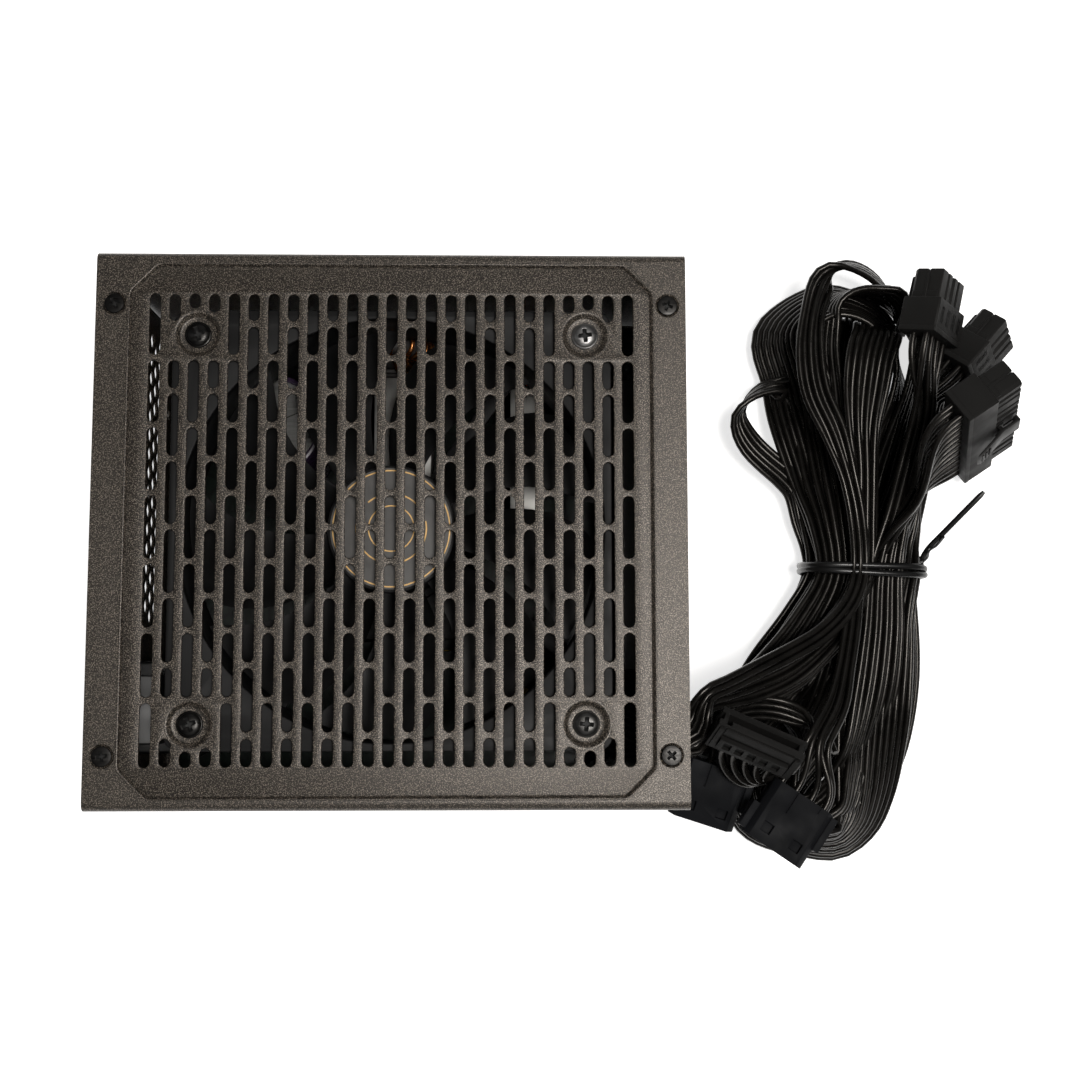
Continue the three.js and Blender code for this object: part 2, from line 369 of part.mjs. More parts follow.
// ---------------------------------------------------------------- connectors
// Local axes of a connector: x along its columns, y across its two rows, z the way it plugs in.
function place(mesh, origin, mating, along) {
  const m = V(...mating).normalize(), a = V(...along);
  a.addScaledVector(m, -a.dot(m)).normalize();
  mesh.matrixAutoUpdate = false;
  mesh.matrix.makeBasis(a, new THREE.Vector3().crossVectors(m, a), m).setPosition(...origin);
}
const HOOD = 10.6, NOSE = 9.2, PITCH = 4.2;
function housing(columns, side) {
  const w = PITCH * (columns - 1) + 5.4;
  let s = join(box(-w / 2 - 0.7, w / 2 + 0.7, -6, 6, 0, HOOD), box(-w / 2, w / 2, -4.8, 4.8, HOOD - 0.2, HOOD + NOSE));
  s = s.add(box(-3.0, 3.0, side < 0 ? -5.0 : 4.6, side < 0 ? -4.6 : 5.0, HOOD, HOOD + 4));
  for (let c = 0; c < columns; c++) for (const r of [-1, 1]) {
    const x = (c - (columns - 1) / 2) * PITCH;
    s = s.subtract(box(x - 1.45, x + 1.45, r * 2.1 - 1.45, r * 2.1 + 1.45, HOOD + NOSE - 6, HOOD + NOSE + 1));
  }
  return s;
}
// Latch lever: hook at the nose, fulcrum in the middle, flared thumb pad at the back.
function latch(side) {
  const p = [[1.2, 9.4], [2.0, 10.0], [12.2, 7.6], [18.8, 7.4], [18.8, 5.2], [17.4, 5.2], [17.0, 6.4], [12.9, 6.4], [12.9, 5.35], [11.6, 5.35], [11.6, 6.5]]; // z, y
  const s = shapeOf(p.map(([z, y]) => [z, y]));
  const g = new THREE.ExtrudeGeometry(s, { depth: 7, bevelEnabled: false }).translate(0, 0, -3.5);
  g.applyMatrix4(new THREE.Matrix4().makeBasis(V(0, 0, 1), V(0, side, 0), V(side < 0 ? 1 : -1, 0, 0)));
  return solid(g);
}
export const CONNECTORS = {
  atx24: { columns: 12, side: 1, origin: [171.6, 33.6, 28.4], mating: [0.8245, 0.5561, 0.1045], along: [-0.187, 0.277, 0.943] },
  cpu: { columns: 4, side: -1, origin: [160.6, 63.2, 39.5], mating: [0.208, 0.978, 0.03], along: [-0.616, 0.131, 0.777] },
  pcie: { columns: 4, side: -1, origin: [173.9, 55.4, 25.8], mating: [0.66, 0.75, 0.05], along: [-0.41, 0.36, 0.84] },
};
for (const [name, c] of Object.entries(CONNECTORS)) {
  place(add(name + "_connector", housing(c.columns, c.side), M.plug), c.origin, c.mating, c.along);
  place(add(name + "_latch", latch(c.side), M.plug), c.origin, c.mating, c.along);
}
{
  const sata = () => {
    let s = join(box(-13.2, 13.2, -3.2, 3.2, 0, 12.6), box(-10.5, 10.5, -4.6, -3.1, 2.4, 7.5), box(-13.2, 13.2, 3.1, 4.2, 0, 5.5));
    s = s.subtract(join(box(-11, 11, -0.9, 1.2, 6.6, 14), box(-11, -9.4, -2.4, 1.2, 6.6, 14)));
    for (let i = 0; i < 5; i++) s = s.subtract(box(-8.9 + i * 3.8, -6.5 + i * 3.8, -5.5, -3.9, 3.4, 8.5));
    return s;
  };
  place(add("sata_connector_1", sata(), M.plug), [103.3, -61.9, 44.0], [0.181, 0.745, 0.643], [0.972, -0.236, 0]);
  place(add("sata_connector_2", sata(), M.plug), [98.3, -65.5, 10.5], [-0.38, -0.78, 0.5], [0.9, -0.43, 0]);
  const molex = () => {
    let s = join(slab([[-10.3, -4.2], [10.3, -4.2], [10.3, 2.2], [8.3, 4.2], [-8.3, 4.2], [-10.3, 2.2]], 0, 18.6), box(-12.1, -10.1, -2.2, 3.0, 9, 17.6), box(10.1, 12.1, -2.2, 3.0, 0.6, 12));
    for (let i = 0; i < 4; i++) s = s.subtract(cylZ(1.9, 9, 20, (i - 1.5) * 5.08, 0, 6));
    for (const x of [-6.4, 3.6]) s = s.subtract(box(x, x + 3.2, 3.0, 5, 12.4, 15.4));
    return s.subtract(box(-2.8, -2.3, 3.7, 5, -1, 7.2));
  };
  place(add("molex_connector_1", molex(), M.plug), [118.6, -76.7, 37.0], [-0.56, -0.83, 0], [0.83, -0.56, 0]);
  place(add("molex_connector_2", molex(), M.plug), [91.2, -70.5, 32.8], [0.12, -0.98, 0.1], [0.12, 0.05, 0.97]);
}

export default psu;
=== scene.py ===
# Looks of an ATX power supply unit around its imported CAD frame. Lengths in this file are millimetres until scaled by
# S.
import math
import random
import bpy
import bmesh
from mathutils import Matrix, Vector


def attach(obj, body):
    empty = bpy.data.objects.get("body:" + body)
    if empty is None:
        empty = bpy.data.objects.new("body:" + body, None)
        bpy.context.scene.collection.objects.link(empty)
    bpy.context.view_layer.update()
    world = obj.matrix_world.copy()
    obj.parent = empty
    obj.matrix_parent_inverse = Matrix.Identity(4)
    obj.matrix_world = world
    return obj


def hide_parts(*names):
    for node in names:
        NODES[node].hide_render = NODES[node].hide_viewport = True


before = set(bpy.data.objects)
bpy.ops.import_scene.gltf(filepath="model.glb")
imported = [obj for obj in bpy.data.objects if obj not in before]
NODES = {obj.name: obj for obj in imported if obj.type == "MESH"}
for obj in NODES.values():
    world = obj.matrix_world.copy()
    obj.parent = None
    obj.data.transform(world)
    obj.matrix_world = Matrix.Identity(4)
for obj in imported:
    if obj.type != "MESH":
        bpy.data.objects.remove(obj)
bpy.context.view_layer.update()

scene = bpy.context.scene
S = 0.001
rng = random.Random(7)

# ------------------------------------------------------------------ camera: the photograph's view, from above and to the left of the plugs
cam_data = bpy.data.cameras.new("view_camera")
cam_data.lens, cam_data.sensor_width, cam_data.sensor_fit = 46.667, 36.0, "HORIZONTAL"
cam_data.clip_start, cam_data.clip_end = 0.01, 20.0
camera = bpy.data.objects.new("view_camera", cam_data)
scene.collection.objects.link(camera)
RIGHT, UP, BACK = Vector((0.99978, -0.00096, 0.02114)), Vector((-0.00108, 0.99536, 0.09616)), Vector((-0.02114, -0.09617, 0.99514))
UP = (UP - RIGHT * UP.dot(RIGHT)).normalized()
RIGHT.normalize()
BACK = RIGHT.cross(UP).normalized()
m = Matrix((RIGHT, UP, BACK)).transposed().to_4x4()
m.translation = Vector((32.25, -39.6, 459.41)) * S
camera.matrix_world = m
scene.camera = camera


# ------------------------------------------------------------------ small tools
def mesh_piece(name, verts, faces, mat, body="case", smooth=True, angle=35, scale=S, replaces=(), mats=None, face_mats=None):
    me = bpy.data.meshes.new(name)
    me.from_pydata([tuple(c * scale for c in v) for v in verts], [], faces)
    me.validate()
    for one in (mats or [mat]):
        me.materials.append(one)
    if face_mats:
        for poly, k in zip(me.polygons, face_mats):
            poly.material_index = k
    if smooth:
        for poly in me.polygons:
            poly.use_smooth = True
        me.set_sharp_from_angle(angle=math.radians(angle))
    me.update()
    ob = bpy.data.objects.new(name, me)
    scene.collection.objects.link(ob)
    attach(ob, body)
    if replaces:
        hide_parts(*replaces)
    return ob


class Build:
    """Collects faces of one piece."""
    def __init__(self):
        self.v, self.f, self.k = [], [], []

    def add(self, verts, faces, k=0, at=None):
        n = len(self.v)
        if at is not None:
            verts = [at @ Vector(p) for p in verts]
        self.v += [tuple(p) for p in verts]
        self.f += [tuple(i + n for i in q) for q in faces]
        self.k += [k] * len(faces)

    def prism(self, outline, z0, z1, bevel=0.0, k=0, at=None):
        """A closed convex or simple outline in X, Y pushed along Z, its rims rounded by two steps when bevel is given."""
        n = len(outline)
        cx = sum(p[0] for p in outline) / n
        cy = sum(p[1] for p in outline) / n

        def inset(d):
            out = []
            for i in range(n):
                a, b, c = Vector(outline[i - 1]), Vector(outline[i]), Vector(outline[(i + 1) % n])
                u, w = (b - a).normalized(), (c - b).normalized()
                nu, nw = Vector((-u.y, u.x)), Vector((-w.y, w.x))
                mid = nu + nw
                q = b + mid * (d / max(0.35, mid.dot(nu)))
                out.append((q.x, q.y))
            return out
        area = sum(outline[i - 1][0] * outline[i][1] - outline[i][0] * outline[i - 1][1] for i in range(n))
        sgn = 1 if area > 0 else -1
        if bevel:
            b = bevel
            levels = [(z0, b), (z0 + 0.3 * b, 0.3 * b), (z0 + b, 0), (z1 - b, 0), (z1 - 0.3 * b, 0.3 * b), (z1, b)]
        else:
            levels = [(z0, 0), (z1, 0)]
        vs, fs = [], []
        for z, d in levels:
            vs += [(x, y, z) for x, y in (inset(sgn * d) if d else outline)]
        for l in range(len(levels) - 1):
            for i in range(n):
                j = (i + 1) % n
                q = (l * n + i, l * n + j, (l + 1) * n + j, (l + 1) * n + i)
                fs.append(q if sgn > 0 else q[::-1])
        top, bot = tuple(range((len(levels) - 1) * n, len(levels) * n)), tuple(range(n))
        fs.append(top if sgn > 0 else top[::-1])
        fs.append(bot[::-1] if sgn > 0 else bot)
        self.add(vs, fs, k, at)

    def box(self, x0, x1, y0, y1, z0, z1, bevel=0.25, k=0, at=None):
        b = min(bevel, 0.32 * (x1 - x0), 0.32 * (y1 - y0), 0.45 * (z1 - z0))
        c = b
        self.prism([(x0 + c, y0), (x1 - c, y0), (x1, y0 + c), (x1, y1 - c), (x1 - c, y1), (x0 + c, y1), (x0, y1 - c), (x0, y0 + c)], z0, z1, b, k, at)

    def lathe(self, profile, n=32, k=0, at=None, closed=False, caps=True):
        """Turns (r, z) pairs about Z."""
        vs, fs = [], []
        for r, z in profile:
            vs += [(r * math.cos(2 * math.pi * i / n), r * math.sin(2 * math.pi * i / n), z) for i in range(n)]
        rows = len(profile)
        for l in range(rows - (0 if closed else 1)):
            a, b = l * n, ((l + 1) % rows) * n
            for i in range(n):
                j = (i + 1) % n
                fs.append((a + i, a + j, b + j, b + i))
        if not closed and caps:
            fs.append(tuple(reversed(range(n))))
            fs.append(tuple(range((rows - 1) * n, rows * n)))
        self.add(vs, fs, k, at)

    def sweep(self, points, r, sides=8, k=0, flat=1.0, up=(0, 0, 1), caps=True):
        """A round bar along points."""
        pts = [Vector(p) for p in points]
        vs, fs = [], []
        nrm = Vector(up)
        for i, p in enumerate(pts):
            t = (pts[min(i + 1, len(pts) - 1)] - pts[max(i - 1, 0)]).normalized()
            nrm = (nrm - t * nrm.dot(t)).normalized()
            bi = t.cross(nrm)
            rr = r[i] if isinstance(r, (list, tuple)) else r
            for s in range(sides):
                a = 2 * math.pi * s / sides
                vs.append(p + bi * (rr * flat * math.cos(a)) + nrm * (rr * math.sin(a)))
        for i in range(len(pts) - 1):
            for s in range(sides):
                q = (s + 1) % sides
                fs.append((i * sides + s, i * sides + q, (i + 1) * sides + q, (i + 1) * sides + s))
        if caps:
            fs.append(tuple(reversed(range(sides))))
            fs.append(tuple(range((len(pts) - 1) * sides, len(pts) * sides)))
        self.add(vs, fs, k)

    def piece(self, name, mats, slot, body="case", replaces=(), angle=35, smooth=True):
        mats = mats if isinstance(mats, (list, tuple)) else [mats]
        return mesh_piece(name, self.v, self.f, None, body, smooth, angle, S, replaces, mats, self.k if len(mats) > 1 else None)


def circle(r, x=0.0, y=0.0, n=24, a0=0.0):
    return [(x + r * math.cos(a0 + 2 * math.pi * i / n), y + r * math.sin(a0 + 2 * math.pi * i / n)) for i in range(n)]


def spline(points, step):
    """Points on a smooth curve through rows of numbers, evenly spaced by the first three."""
    def chord(a, b):
        return max(1e-6, math.dist(a[:3], b[:3])) ** 0.5
    P = [list(p) for p in points]
    P = [[2 * a - b for a, b in zip(P[0], P[1])]] + P + [[2 * a - b for a, b in zip(P[-1], P[-2])]]
    fine = []
    for i in range(1, len(P) - 2):
        t0, t1 = 0.0, chord(P[i - 1], P[i])
        t2 = t1 + chord(P[i], P[i + 1])
        t3 = t2 + chord(P[i + 1], P[i + 2])
        for s in range(16):
            t = t1 + (t2 - t1) * s / 16
            row = []
            for a, b, c, d in zip(P[i - 1], P[i], P[i + 1], P[i + 2]):
                A1 = (t1 - t) / (t1 - t0) * a + (t - t0) / (t1 - t0) * b
                A2 = (t2 - t) / (t2 - t1) * b + (t - t1) / (t2 - t1) * c
                A3 = (t3 - t) / (t3 - t2) * c + (t - t2) / (t3 - t2) * d
                B1 = (t2 - t) / (t2 - t0) * A1 + (t - t0) / (t2 - t0) * A2
                B2 = (t3 - t) / (t3 - t1) * A2 + (t - t1) / (t3 - t1) * A3
                row.append((t2 - t) / (t2 - t1) * B1 + (t - t1) / (t2 - t1) * B2)
            fine.append(row)
    fine.append(list(P[-2]))
    for _ in range(6):  # takes out small kinks
        fine = [fine[0]] + [[(a + 2 * b + c) / 4 for a, b, c in zip(fine[i - 1], fine[i], fine[i + 1])] for i in range(1, len(fine) - 1)] + [fine[-1]]
    run = [0.0]
    for a, b in zip(fine, fine[1:]):
        run.append(run[-1] + math.dist(a[:3], b[:3]))
    n = max(2, round(run[-1] / step))
    out, k = [], 0
    for i in range(n + 1):
        d = run[-1] * i / n
        while k < len(run) - 2 and run[k + 1] < d:
            k += 1
        w = (d - run[k]) / max(1e-9, run[k + 1] - run[k])
        out.append([a + (b - a) * w for a, b in zip(fine[k], fine[k + 1])])
    return out, run[-1]


# ------------------------------------------------------------------ materials
class Mat:
    def __init__(self, name, color, rough, metal=0.0, spec=0.5):
        self.m = bpy.data.materials.new(name)
        self.m.use_nodes = True
        self.t = self.m.node_tree
        self.b = self.t.nodes["Principled BSDF"]
        self.b.inputs["Base Color"].default_value = (*color, 1)
        self.b.inputs["Roughness"].default_value = rough
        self.b.inputs["Metallic"].default_value = metal
        self.b.inputs["Specular IOR Level"].default_value = spec
        self.color, self.rough = color, rough
        self.normal = None
        self.co = self.node("ShaderNodeTexCoord").outputs["Object"]

    def node(self, kind, **inputs):
        n = self.t.nodes.new(kind)
        for k, v in inputs.items():
            if k in n.inputs.keys():
                n.inputs[k].default_value = v
            else:
                setattr(n, k, v)
        return n

    def link(self, a, b):
        self.t.links.new(a, b)

    def noise(self, scale, detail=3.0, rough=0.55, stretch=None):
        n = self.node("ShaderNodeTexNoise", Scale=scale, Detail=detail, Roughness=rough)
        src = self.co
        if stretch:
            mp = self.node("ShaderNodeMapping")
            mp.inputs["Scale"].default_value = stretch
            self.link(self.co, mp.inputs["Vector"])
            src = mp.outputs["Vector"]
        self.link(src, n.inputs["Vector"])
        return n.outputs["Fac"]

    def voronoi(self, scale, feature="F1"):
        n = self.node("ShaderNodeTexVoronoi", Scale=scale)
        n.feature = feature
        self.link(self.co, n.inputs["Vector"])
        return n.outputs["Distance"]

    def ramp(self, src, stops):
        r = self.node("ShaderNodeValToRGB")
        e = r.color_ramp.elements
        while len(e) < len(stops):
            e.new(0.5)
        for one, (pos, col) in zip(e, stops):
            one.position = pos
            one.color = (*col, 1) if len(col) == 3 else col
        self.link(src, r.inputs["Fac"])
        return r.outputs["Color"]

    def mix(self, a, b, fac, mode="MIX"):
        n = self.node("ShaderNodeMix")
        n.data_type, n.blend_type = "RGBA", mode
        for sock, v in ((n.inputs["Factor"], fac), (n.inputs["A"], a), (n.inputs["B"], b)):
            if hasattr(v, "is_output"):
                self.link(v, sock)
            else:
                sock.default_value = v if not isinstance(v, tuple) else (*v[:3], 1)
        return n.outputs["Result"]

    def color_from(self, out):
        self.link(out, self.b.inputs["Base Color"])
        return self

    def vary(self, scale, dark, light, detail=3.0, stretch=None):
        return self.color_from(self.ramp(self.noise(scale, detail, stretch=stretch), [(0.3, dark), (0.7, light)]))

    def rough_vary(self, scale, lo, hi, stretch=None):
        n = self.node("ShaderNodeMapRange")
        n.inputs["To Min"].default_value, n.inputs["To Max"].default_value = lo, hi
        n.inputs["From Min"].default_value, n.inputs["From Max"].default_value = 0.3, 0.7
        self.link(self.noise(scale, 2.0, stretch=stretch), n.inputs["Value"])
        self.link(n.outputs["Result"], self.b.inputs["Roughness"])
        return self

    def bump(self, src, strength, distance):
        n = self.node("ShaderNodeBump", Strength=strength, Distance=distance)
        self.link(src, n.inputs["Height"])
        if self.normal:
            self.link(self.normal, n.inputs["Normal"])
        self.normal = n.outputs["Normal"]
        self.link(self.normal, self.b.inputs["Normal"])
        return self

    def worn(self, base, edge, lo=0.52, hi=0.62, amount=0.6):
        """Lighter on convex edges, as handling leaves them."""
        g = self.node("ShaderNodeNewGeometry").outputs["Pointiness"]
        n = self.node("ShaderNodeMapRange")
        n.inputs["From Min"].default_value, n.inputs["From Max"].default_value = lo, hi
        n.inputs["To Max"].default_value = amount
        self.link(g, n.inputs["Value"])
        return self.mix(base, edge, n.outputs["Result"])


def plastic(name, color, rough, scale=900, bump=0.12, light=1.6, metal=0.0, spec=0.5, dist=0.00003):
    mt = Mat(name, color, rough, metal, spec)
    lightc = tuple(c * light for c in color)
    base = mt.ramp(mt.noise(scale * 0.05, 2.0), [(0.3, color), (0.75, lightc)])
    mt.color_from(mt.worn(base, tuple(min(1, c * 2.6 + 0.01) for c in color), amount=0.35))
    mt.rough_vary(scale * 0.12, rough * 0.85, min(1, rough * 1.2))
    mt.bump(mt.noise(scale, 3.0), bump, dist)
    return mt.m


def powder_coat():
    """Textured powder coat: tight grains about 0.35 mm across, warm dark grey. Its colour follows the same grain as the
    bump: painted shade in the pits between grains and a painted highlight on each grain's crown.
    """
    mt = Mat("case_powder_coat", (0.03, 0.028, 0.026), 0.5, 0.0, 0.50)
    grain = mt.noise(3300, 2.0, 0.55)
    fine = mt.noise(7000, 1.0, 0.5)
    # grain colour from near black to light grey, keyed to the bump's height: partly the coat's own speckle, partly
    # painted shade in the pits and painted light on the crowns
    speck_with_painted_light_and_shade = mt.ramp(grain, [(0.42, (0.0003, 0.0003, 0.0002)), (0.50, (0.0050, 0.0043, 0.0035)), (0.56, (0.046, 0.0390, 0.0318)), (0.62, (0.21, 0.178, 0.145))])
    cloud = mt.ramp(mt.noise(14, 3.0), [(0.3, (0.90, 0.89, 0.88)), (0.7, (1.08, 1.08, 1.09))])
    base = mt.mix(speck_with_painted_light_and_shade, cloud, 1.0, "MULTIPLY")
    mt.color_from(mt.worn(base, (0.10, 0.090, 0.078), 0.53, 0.66, 0.2))
    mt.b.inputs["Specular Tint"].default_value = (1.0, 0.93, 0.86, 1)
    mt.rough_vary(3300, 0.46, 0.28)
    mt.bump(fine, 0.2, 0.00004)
    mt.bump(grain, 0.5, 0.00014)
    return mt.m


def metal(name, color, rough, brushed=0.15, scale=500, stretch=(1, 12, 1), dark=0.75):
    mt = Mat(name, color, rough, 1.0)
    lo = tuple(c * dark for c in color)
    mt.vary(scale * 0.2, lo, color, 3.0, stretch)
    mt.rough_vary(scale * 0.3, rough * 0.75, min(1, rough * 1.35), stretch)
    mt.bump(mt.noise(scale, 3.0, stretch=stretch), brushed, 0.00003)
    return mt.m


def cable_pvc():
    mt = Mat("ribbon_pvc", (0.004, 0.0037, 0.0034), 0.30, 0.0, 0.30)
    c = mt.ramp(mt.noise(120, 3.0), [(0.3, (0.0024, 0.0022, 0.0020)), (0.7, (0.0062, 0.0056, 0.0050))])
    mt.color_from(c)
    mt.b.inputs["Specular Tint"].default_value = (1.0, 0.95, 0.89, 1)
    mt.rough_vary(300, 0.23, 0.34)
    mt.bump(mt.noise(700, 2.0), 0.10, 0.00005)
    return mt.m


COAT = powder_coat()
CABLE = cable_pvc()
NYLON = plastic("connector_nylon", (0.0052, 0.0050, 0.0047), 0.58, 1100, 0.2, spec=0.13)
NYLON_BLUE = plastic("molex_nylon", (0.0040, 0.0043, 0.0052), 0.58, 1100, 0.16, spec=0.08)
LATCHM = plastic("latch_nylon", (0.0060, 0.0058, 0.0055), 0.5, 1000, 0.14, spec=0.2)
FANM = plastic("fan_moulding", (0.0055, 0.0055, 0.0056), 0.52, 800, 0.16, spec=0.17)
PANELP = plastic("panel_plastic", (0.006, 0.006, 0.0062), 0.38, 900, 0.1, spec=0.4)
ROCKERP = plastic("rocker_gloss", (0.005, 0.005, 0.0052), 0.22, 700, 0.05)
TIEM = plastic("tie_pvc", (0.005, 0.005, 0.005), 0.28, 600, 0.06)
# near-black material for the inside of screw crosses: painted shade in the recess
RECESS_PAINTED_SHADE = plastic("painted_recess_shade", (0.003, 0.003, 0.003), 0.7, 500, 0.05)
SILVER = metal("zinc_bright", (0.27, 0.265, 0.26), 0.36, 0.2)
STEELG = metal("zinc_grey", (0.085, 0.083, 0.08), 0.38, 0.25)
BLACKS = metal("screw_black_oxide", (0.030, 0.029, 0.028), 0.34, 0.25)
ALU = metal("heatsink_aluminium", (0.36, 0.355, 0.34), 0.48, 0.4, 400, (1, 1, 14))
BRONZE = metal("bearing_bronze", (0.55, 0.40, 0.20), 0.42)
MAGNET = metal("magnet_ring", (0.10, 0.10, 0.105), 0.5)
COPPER = metal("copper_wire", (0.82, 0.33, 0.11), 0.30, 0.2, 700, (1, 1, 8), 0.7)
PINM = metal("contact_pin", (0.75, 0.70, 0.58), 0.28)
